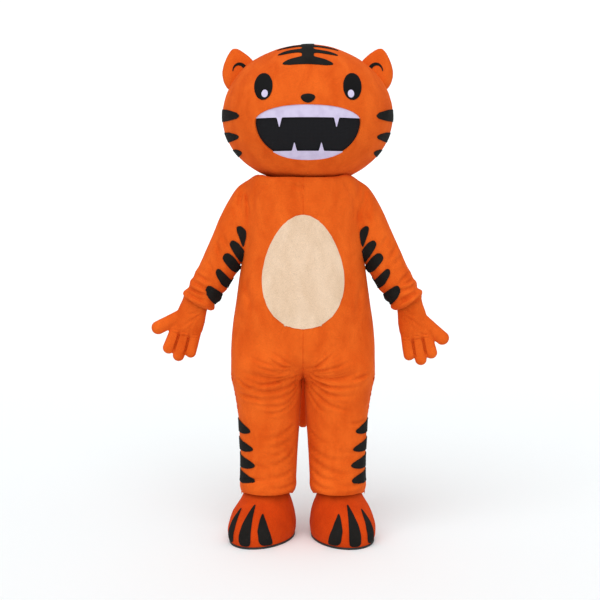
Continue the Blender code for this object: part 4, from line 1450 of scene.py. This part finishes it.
@dataclass
class Suit:
    """The one-piece plush suit: body panels, set-in sleeves, belly patch, stripes, tail and zip."""

    levels: int = 3
    seam_depth: float = 0.0018
    hem: float = 0.165
    hem_rise: float = 0.017
    hem_swell: float = 0.0038
    hem_tuck: float = 0.0050
    cuff: tuple[float, float] = (0.415, 0.914)
    arm_run: tuple[float, float] = (0.509, -0.861)
    cuff_pitch: float = 0.046
    cuff_swell: float = 0.0052
    cuff_tuck: float = 0.004
    collar_rise: float = 0.014
    fine_hips: tuple[float, float] = (0.44, 0.78)
    fine_cuffs: tuple[float, float] = (0.80, 1.06)
    panel_cut: Cut = field(default_factory=lambda: Cut(0.46, 1.31, 0.80))
    sleeve_cut: Cut = field(default_factory=lambda: Cut(0.56, 0.49, 0.74))
    zip_foot: float = 0.860
    zip_length: float = 0.505
    tooth_pitch: float = 0.0026
    tooth_size: Place = (0.0042, 0.0018, 0.0019)
    form: Thing | None = None

    def make_form(self) -> None:
        """Join the panels' outer sheets into one smooth skin, and press its seams and creases."""
        parts = []
        for label, side in SIDES:
            for part in ("front", "back"):
                facing = -1 if part == "front" else 1
                parts.append((f"body_{part}_{label}", (side * 0.10, facing * 0.02, -0.35)))
            parts.append((f"sleeve_{label}", (side * 0.325, 0, -0.16)))
        sheets = []
        for node, away in parts:
            sheet = outer_sheet(node, f"{node}_sheet", away)
            sheet.data.materials.append(bpy.data.materials.new(node))
            sheets.append(sheet)
        form = joined(sheets, "suit_form")
        edit_all(form)
        bpy.ops.mesh.remove_doubles(threshold=0.0012)
        bpy.ops.mesh.normals_make_consistent(inside=False)
        leave_edit()
        round_out(form, self.levels)
        for plane in (-0.0035, 0.0035):
            bisect(form, (plane, 0, 0), (1, 0, 0))
            bisect(form, (0, plane, 0), (0, 1, 0))
        across, out, height = face_data(form)[0].T
        height = height - FLOOR
        hips = (out < 0.02) & (height > self.fine_hips[0]) & (height < self.fine_hips[1])
        cuffs = (np.abs(across) > 0.27) & (height < self.fine_cuffs[1]) & (height > self.fine_cuffs[0])
        edit_faces(form, hips | cuffs)
        bpy.ops.mesh.subdivide(number_cuts=1, smoothness=0)
        leave_edit()
        self.form = form
        self.raise_hems()
        press(form, FRONT_CREASES + SLEEVE_CREASES + SIDE_CREASES + fan(1, 1, 15) + fan(2, -1, 15))
        press(form, [turned_back(c, 12) for c in FRONT_CREASES[:35] + SLEEVE_CREASES])
        self.press_seams()

    def raise_hems(self) -> None:
        """Let the hems ride up over the insteps, and give the cloth a soft unevenness."""
        points, normals = points_of(self.form), normals_of(self.form)
        height, across = points[:, 2] - FLOOR, np.abs(points[:, 0])
        leg = across < 0.3
        share = soft_step((0.27 - height) / 0.105) * soft_step(-points[:, 1] / 0.10) * leg
        points[:, 2] += self.hem_rise * share
        # The sleeve's end bunches in rings, and its last centimetre is drawn in
        arm = (across > 0.286) & (height > 0.80) & (height < 1.20)
        reach = (across - self.cuff[0]) * self.arm_run[0] + (height - self.cuff[1]) * self.arm_run[1]
        phase = (reach + 0.018) / self.cuff_pitch * 2 * math.pi + 0.9 * waves(points, 0.13, 12)
        bunch = self.cuff_swell * np.cos(phase) * np.exp(-((reach / 0.085) ** 2))
        bunch -= self.cuff_tuck * soft_step((reach + 0.010) / 0.012)
        points += normals * (bunch * arm)[:, None]
        rise = height - self.hem
        tuck = self.hem_swell * np.exp(-(((rise - 0.034) / 0.020) ** 2))
        tuck -= self.hem_tuck * soft_step((0.014 - rise) / 0.014)
        points += normals * (tuck * leg)[:, None]
        across = np.abs(points[:, 0])
        collar = soft_step((height - 1.372) / 0.022) * np.exp(-(((across - 0.168) / 0.036) ** 2))
        points[:, 2] += self.collar_rise * collar
        uneven = 0.0022 * waves(points, 0.16, 1) + 0.0008 * waves(points, 0.05, 2)
        quiet = soft_step(np.abs(points[:, 0]) / 0.02) * soft_step(np.abs(points[:, 1]) / 0.02)
        set_points(self.form, points + normals * (uneven * quiet)[:, None])

    def press_seams(self) -> None:
        """Sink the seams: down the middle of front and back, down the sides, and round the armholes."""
        form = self.form
        points, normals = points_of(form), normals_of(form)
        seam = np.zeros(len(points), bool)
        users: dict[int, set[int]] = {}
        for face in form.data.polygons:
            for vertex in face.vertices:
                users.setdefault(vertex, set()).add(face.material_index)
        for vertex, kinds in users.items():
            seam[vertex] = len(kinds) > 1
        depth = np.where(seam, self.seam_depth, 0.0)
        # Stitching gathers the seam a little every few centimetres
        depth *= 0.8 + 0.4 * waves(points, 0.03, 6)
        flat = normals.copy()
        flat[np.abs(points[:, 0]) < 1e-4, 0] = 0
        set_points(form, points - flat * depth[:, None])

    def make_panels(self) -> None:
        """Divide the skin into its panels and give each its thickness."""
        indices = np.empty(len(self.form.data.polygons), int)
        self.form.data.polygons.foreach_get("material_index", indices)
        for number, material in enumerate(list(self.form.data.materials)):
            node, is_sleeve = material.name, "sleeve" in material.name
            name = f"set_in_{node}" if is_sleeve else node.replace("body", "suit")
            panel = copy_of(self.form, name)
            keep_faces(panel, indices == number)
            thicken(panel, CLOTH)
            complete(panel, Finish.orange_plush, node)
            (self.sleeve_cut if is_sleeve else self.panel_cut).declare(panel)

    def make_patches(self) -> None:
        """Lay the belly patch and the stripes on the skin."""
        belly = outer_sheet("belly_patch", "belly_oval", (0, 0, -0.25))
        round_out(belly, 3)
        lay_on(belly, self.form)
        fronts = ["suit_front_left", "suit_front_right"]
        sew_on(belly, 0.0018, Finish.cream_plush, ["belly_patch"], fronts, 0.0008)
        for label, side in SIDES:
            for number in range(1, 5):
                suit = [f"suit_front_{label}", f"suit_back_{label}"]
                node = f"leg_stripe_{label}_{number}"
                self.add_stripe(node, f"leg_bar_{label}_{number}", side * 0.13, suit)
            for number in range(1, 6):
                node = f"arm_stripe_{label}_{number}"
                # The arm's middle line runs down and out from the shoulder
                drop = 0.08 - points_of(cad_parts[node])[:, 2].mean()
                middle = side * (0.27 + 0.42 * drop)
                self.add_stripe(node, f"arm_leaf_{label}_{number}", middle, [f"set_in_sleeve_{label}"], 1.3)

    def add_stripe(
        self, node: str, name: str, middle: float, rests_on: Sequence[str], widen: float = 1.0
    ) -> None:
        """Lay one black stripe on the skin.

        Args:
            node: The CAD node that it replaces.
            name: The stripe's name.
            middle: How far across the limb's middle is.
            rests_on: The pieces that it is sewn on.
            widen: How much wider it is than the CAD's one.
        """
        height = points_of(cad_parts[node])[:, 2].mean()
        stripe = outer_sheet(node, name, (middle, 0, height))
        round_out(stripe, 3, passes=0)
        points = points_of(stripe)
        heart = points.mean(axis=0)
        across = np.linalg.svd(points - heart, full_matrices=False)[2][1]
        set_points(stripe, points + np.outer((points - heart) @ across, across) * (widen - 1))
        lay_on(stripe, self.form, STRIPE_LIFT)
        sew_on(stripe, PATCH, Finish.black_plush, [node], rests_on)

    def make_tail(self) -> None:
        """Stuff the tail."""
        tail = node_copy("tail", "stuffed_tail")
        pad_out(tail, 0.006, 0.002, pressure=3.0)
        complete(tail, Finish.orange_plush, "tail")

    def make_zip(self) -> None:
        """Lay the zip's tape down the back, with its teeth, and dress the slider and pull."""
        tape = outer_sheet("zip_tape", "zip_tape_woven", (0, 0, -0.2))
        round_out(tape, 3)
        lay_on(tape, self.form, 0.0010)
        backs = ["suit_back_left", "suit_back_right"]
        sew_on(tape, THIN_PATCH, Finish.zip_cloth, ["zip_tape"], backs)
        tree = BVHTree.FromObject(tape, bpy.context.evaluated_depsgraph_get())
        teeth = []
        for number in range(int(self.zip_length / self.tooth_pitch)):
            height = self.zip_foot + FLOOR + number * self.tooth_pitch
            side = 1 if number % 2 else -1
            hit = tree.ray_cast(Vector((side * 0.0012, 0.5, height)), Vector((0, -1, 0)))[0]
            if hit:
                teeth.append(hit + Vector((0, 0.0006, 0)))
        tooth = add_shape(bpy.ops.mesh.primitive_cube_add, "zip_tooth", size=1, scale=self.tooth_size)
        placed(tooth, Matrix.Identity(4))
        modify(tooth, "BEVEL", width=0.0004, segments=1)
        copies = []
        for place in teeth:
            made = copy_of(tooth, "zip_tooth")
            made.data.transform(Matrix.Translation(place))
            copies.append(made)
        tooth.data.transform(Matrix.Translation(teeth[0]))
        complete(joined([tooth, *copies], "zip_teeth"), Finish.zip_metal)
        for node in ("zip_slider", "zip_pull"):
            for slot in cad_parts[node].material_slots:
                slot.material = dressed(Finish.zip_metal)

    def build(self) -> None:
        """Build the whole suit."""
        self.make_form()
        self.make_panels()
        self.make_patches()
        self.make_tail()
        self.make_zip()
        bpy.data.objects.remove(self.form, do_unlink=True)


# Gloves and shoe covers


@dataclass
class Glove:
    """A padded-looking glove with a thumb and three fat fingers, open at the wrist."""

    label: str
    side: int
    wrist: Place
    tilt: float
    thumb: tuple[float, float, float, float, float]
    creases: tuple[Crease, ...]
    cut: Cut = field(default_factory=lambda: Cut(0.36, 0.47, 0.62))
    opening: float = 0.0385
    palm: tuple[tuple[float, float, float, float], ...] = (
        # along, across, half_width, half_thickness
        (-0.040, 0.000, 0.049, 0.044),
        (0.000, 0.001, 0.051, 0.044),
        (0.030, 0.003, 0.055, 0.042),
        (0.062, 0.004, 0.059, 0.038),
        (0.098, 0.006, 0.061, 0.033),
        (0.126, 0.008, 0.056, 0.027),
        (0.142, 0.008, 0.042, 0.017),
    )
    fingers: tuple[tuple[float, float, float, float, float], ...] = (
        # root_along, root_across, tip_along, tip_across, radius
        (0.105, -0.031, 0.192, -0.031, 0.0210),
        (0.105, 0.010, 0.216, 0.012, 0.0225),
        (0.105, 0.044, 0.196, 0.056, 0.0235),
    )

    def make_palm(self) -> Thing:
        """Extrude the palm ring by ring from the wrist.

        Returns:
            The palm.
        """
        along, across, half_width, half_thickness = self.palm[0]
        circle = bpy.ops.mesh.primitive_circle_add
        palm = add_shape(circle, "palm", vertices=32, radius=1, fill_type="NGON")
        points = points_of(palm) * (half_width, half_thickness, 1)
        set_points(palm, points + (self.side * across, 0, -along))
        edit_all(palm)
        last = self.palm[0]
        for ring in self.palm[1:]:
            step = (self.side * (ring[1] - last[1]), 0, last[0] - ring[0])
            bpy.ops.mesh.extrude_region_move(TRANSFORM_OT_translate={"value": step})
            bpy.ops.transform.resize(
                value=(ring[2] / last[2], ring[3] / last[3], 1),
                center_override=(self.side * ring[1], 0, -ring[0]),
            )
            last = ring
        bpy.ops.mesh.select_all(action="SELECT")
        bpy.ops.mesh.normals_make_consistent(inside=False)
        leave_edit()
        return palm

    def make_finger(self, finger: tuple[float, float, float, float, float]) -> Thing:
        """Draw a ball out into a finger.

        Args:
            finger: Where it starts and ends, and its radius.

        Returns:
            The finger.
        """
        root = Vector((self.side * finger[1], 0, -finger[0]))
        tip = Vector((self.side * finger[3], 0, -finger[2]))
        ball = bpy.ops.mesh.primitive_uv_sphere_add
        made = add_shape(ball, "finger", segments=24, ring_count=16, radius=finger[4] + 0.0008)
        points = points_of(made)
        run = tip - root
        points[points[:, 2] > 1e-5, 2] += run.length
        set_points(made, points)
        turn = Vector((0, 0, 1)).rotation_difference(run).to_matrix().to_4x4()
        return placed(made, Matrix.Translation(root) @ turn)

    def finger_gaps(self, place: Matrix) -> list[Crease]:
        """Draw the deep gaps between neighbouring fingers, and the folds across their roots.

        Args:
            place: The hand's place and turn.

        Returns:
            The creases, on palm and back.
        """
        paths = []
        for low, high in zip(self.fingers, self.fingers[1:]):
            root, tip = (low[1] + high[1]) / 2, (low[3] + high[3]) / 2
            paths.append(([(0.200, tip), (0.150, (root + tip) / 2), (0.094, root)], 7.0, 5.5))
        for finger in self.fingers:
            for along in (0.118, 0.131):
                paths.append(([(along, finger[1] - 0.012), (along + 0.002, finger[1] + 0.013)], 2.6, 3.4))
        made = []
        for path, depth, width in paths:
            spots = [place @ Vector((self.side * across, 0, -along)) for along, across in path]
            flat = tuple((1000 * spot.x, 1000 * (spot.z - FLOOR)) for spot in spots)
            made += [Crease(flat, depth, width, facing) for facing in (Facing.FRONT, Facing.BACK)]
        return made

    def build(self) -> None:
        """Blend palm and fingers into one skin, open its wrist and press its creases."""
        parts = [self.make_palm()] + [self.make_finger(f) for f in (*self.fingers, self.thumb)]
        glove = joined(parts, f"plush_glove_{self.label}")
        place = Matrix.Translation(self.wrist) @ Matrix.Rotation(-self.side * self.tilt, 4, "Y")
        placed(glove, place)
        modify(glove, "REMESH", mode="VOXEL", voxel_size=0.0026)
        modify(glove, "SMOOTH", factor=0.5, iterations=6)
        up = place.to_3x3() @ Vector((0, 0, 1))
        bisect(glove, place @ Vector((0, 0, self.opening)), up, clear=True)
        points, normals = points_of(glove), normals_of(glove)
        set_points(glove, points + normals * (0.0007 * waves(points, 0.06, 9))[:, None])
        press(glove, (*self.creases, *self.finger_gaps(place)))
        modify(glove, "SMOOTH", factor=0.5, iterations=2)
        thicken(glove, CLOTH)
        complete(glove, Finish.orange_plush, f"glove_{self.label}")
        self.cut.declare(glove)


PALM_CREASES = {
    "left": creases(
        # depth_mm, width_mm, path_mm
        (3.0, 6, (400, 868), (432, 845), (470, 812)),
        (3.2, 6, (398, 888), (420, 875), (448, 868)),
        (2.8, 6, (392, 902), (410, 890), (430, 886)),
        (1.8, 5, (448, 803), (470, 797), (488, 790)),
        (1.8, 6, (415, 850), (424, 830), (430, 806)),
    ),
    "right": creases(
        (3.0, 6, (-402, 872), (-436, 850), (-478, 822)),
        (3.2, 6, (-400, 893), (-424, 880), (-452, 874)),
        (2.8, 6, (-396, 908), (-414, 898), (-436, 894)),
        (1.8, 5, (-455, 812), (-478, 806), (-498, 800)),
        (1.8, 6, (-418, 856), (-430, 838), (-440, 812)),
    ),
}

HANDS = (
    # label, side, wrist, tilt in degrees, and the thumb as a finger
    ("left", 1, (0.417, 0, -0.393), 9, (0.058, 0.034, 0.146, 0.107, 0.0265)),
    ("right", -1, (-0.421, 0, -0.383), 15, (0.056, 0.032, 0.131, 0.116, 0.0265)),
)


@dataclass
class Shoe:
    """A shoe cover: a plush dome open at the ankle on a thin moulded sole, with claw stripes."""

    label: str
    side: int
    toe_out: float
    ankle: float = 0.142
    sole_half_width: float = 0.119
    sole_half_length: float = 0.177
    sole_forward: float = 0.050
    sole_thickness: float = 0.008
    plush: float = 0.003
    cut: Cut = field(default_factory=lambda: Cut(0.62, 0.46, 0.72))

    def make_upper(self) -> Thing:
        """Round out the dome and press a few soft creases in it.

        Returns:
            The dome's outer surface.
        """
        away = (self.side * self.ankle, -0.02, -1.28)
        form = outer_sheet(f"shoe_upper_{self.label}", f"shoe_form_{self.label}", away)
        round_out(form, 3)
        points, normals = points_of(form), normals_of(form)
        quiet = soft_step((points[:, 2] - FLOOR - 0.012) / 0.03)
        uneven = 0.0016 * waves(points, 0.11, 7 + self.side) + 0.0005 * waves(points, 0.04, 8)
        set_points(form, points + normals * (uneven * quiet)[:, None])
        upper = copy_of(form, f"shoe_dome_{self.label}")
        thicken(upper, self.plush)
        complete(upper, Finish.shoe_plush, f"shoe_upper_{self.label}")
        self.cut.declare(upper, f"shoe_base_{self.label}")
        return form

    def make_sole(self) -> None:
        """Mould the sole: an oval slab with a rounded edge."""
        disc, name = bpy.ops.mesh.primitive_cylinder_add, f"shoe_base_{self.label}"
        sole = add_shape(
            disc, name, vertices=96, radius=1, depth=self.sole_thickness, end_fill_type="NGON"
        )
        points = points_of(sole) * (self.sole_half_width, self.sole_half_length, 1)
        set_points(sole, points + (0, -self.sole_forward, self.sole_thickness / 2))
        place = Matrix.Translation((self.side * self.ankle, 0, FLOOR))
        placed(sole, place @ Matrix.Rotation(self.side * self.toe_out, 4, "Z"))
        ease_edges(sole, 0.0016, 3, above=50)
        complete(sole, Finish.sole_rubber, f"shoe_sole_{self.label}")

    def make_claws(self, form: Thing) -> None:
        """Lay the three claw stripes over the toe.

        Args:
            form: The dome's outer surface.
        """
        for number in range(1, 4):
            node = f"toe_stripe_{self.label}_{number}"
            middle = points_of(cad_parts[node]).mean(axis=0)
            away = (self.side * self.ankle, -0.02, middle[2] - 0.06)
            claw = outer_sheet(node, f"claw_bar_{self.label}_{number}", away)
            round_out(claw, 2, passes=0)
            lay_on(claw, form)
            sew_on(claw, PATCH, Finish.black_plush, [node], [f"shoe_dome_{self.label}"])

    def build(self) -> None:
        """Build the whole shoe cover."""
        self.make_sole()
        form = self.make_upper()
        self.make_claws(form)
        bpy.data.objects.remove(form, do_unlink=True)


# Studio


@dataclass
class Studio:
    """The camera, a pale floor that curves up into a backdrop, and soft even light."""

    camera_place: Place = (0.0, -4.2, -0.05)
    camera_drop: float = math.radians(4.37)
    focal_pixels: float = 1077.0
    frame_pixels: float = 600.0
    shift_pixels: float = -3.0
    sweep_half_width: float = 9.0
    sweep_front: float = -9.0
    sweep_back: float = 7.0
    sweep_radius: float = 3.0
    sweep_steps: int = 12
    sweep_height: float = 4.0
    paper: tuple[float, float, float, float] = (0.90, 0.93, 0.94, 1.0)
    sky: float = 0.64
    suns: tuple[tuple[str, float, float, float, float], ...] = (
        # name, strength, then in degrees softness, tilt and turn
        ("key", 1.6, 70, 44, -14),
        ("fill", 0.3, 90, 62, 40),
    )

    def make_camera(self) -> None:
        """Place the camera."""
        data = bpy.data.cameras.new("camera")
        camera = bpy.data.objects.new("camera", data)
        bpy.context.scene.collection.objects.link(camera)
        camera.location = self.camera_place
        camera.rotation_euler = (math.pi / 2 - self.camera_drop, 0, 0)
        data.sensor_width = 36
        data.lens = 36 * self.focal_pixels / self.frame_pixels
        data.shift_x = self.shift_pixels / self.frame_pixels
        bpy.context.scene.camera = camera

    def make_sweep(self) -> None:
        """Extrude the floor's back edge up into a curved backdrop."""
        sweep = add_shape(bpy.ops.mesh.primitive_plane_add, "studio_sweep", size=2)
        middle = (self.sweep_front + self.sweep_back) / 2
        half_depth = (self.sweep_back - self.sweep_front) / 2
        set_points(sweep, points_of(sweep) * (self.sweep_half_width, half_depth, 1) + (0, middle, FLOOR))
        alone(sweep)
        bpy.context.tool_settings.mesh_select_mode = (False, True, False)
        bpy.ops.object.mode_set(mode="EDIT")
        bpy.ops.mesh.select_all(action="DESELECT")
        leave_edit()
        for edge in sweep.data.edges:
            ends = [sweep.data.vertices[v].co.y for v in edge.vertices]
            edge.select = min(ends) > self.sweep_back - 0.01
        bpy.ops.object.mode_set(mode="EDIT")
        for number in range(self.sweep_steps):
            a, b = (math.pi / 2 * (number + k) / self.sweep_steps for k in (0, 1))
            back, up = math.sin(b) - math.sin(a), math.cos(a) - math.cos(b)
            step = (0, self.sweep_radius * back, self.sweep_radius * up)
            bpy.ops.mesh.extrude_region_move(TRANSFORM_OT_translate={"value": step})
        bpy.ops.mesh.extrude_region_move(TRANSFORM_OT_translate={"value": (0, 0, self.sweep_height)})
        leave_edit()
        bpy.ops.object.shade_smooth()
        paper = new_material(
            "matt_paper_backdrop", Roughness=1.0, Specular_IOR_Level=0.0, Base_Color=self.paper
        )[0]
        sweep.data.materials.append(paper)

    def make_lights(self) -> None:
        """Light evenly from all round, with a broad soft key from above and one side."""
        world = bpy.data.worlds.new("studio")
        bpy.context.scene.world = world
        world.use_nodes = True
        background = world.node_tree.nodes["Background"].inputs
        background["Color"].default_value = grey(1.0)
        background["Strength"].default_value = self.sky
        for name, strength, softness, tilt, turn in self.suns:
            data = bpy.data.lights.new(name, "SUN")
            data.energy = strength
            data.angle = math.radians(softness)
            lamp = bpy.data.objects.new(name, data)
            bpy.context.scene.collection.objects.link(lamp)
            lamp.rotation_euler = (math.radians(tilt), 0, math.radians(turn))
        bpy.context.scene.view_settings.view_transform = "Standard"

    def build(self) -> None:
        """Set up the studio."""
        self.make_camera()
        self.make_sweep()
        self.make_lights()


def main() -> None:
    """Build the costume and its studio."""
    logging.basicConfig(level=logging.INFO, format="%(name)s %(message)s")
    Studio().build()
    Head().build()
    Suit().build()
    for label, side, wrist, tilt, thumb in HANDS:
        Glove(label, side, wrist, math.radians(tilt), thumb, PALM_CREASES[label]).build()
    Shoe("left", 1, math.radians(14)).build()
    Shoe("right", -1, math.radians(20)).build()


if __name__ == "__main__":
    main()
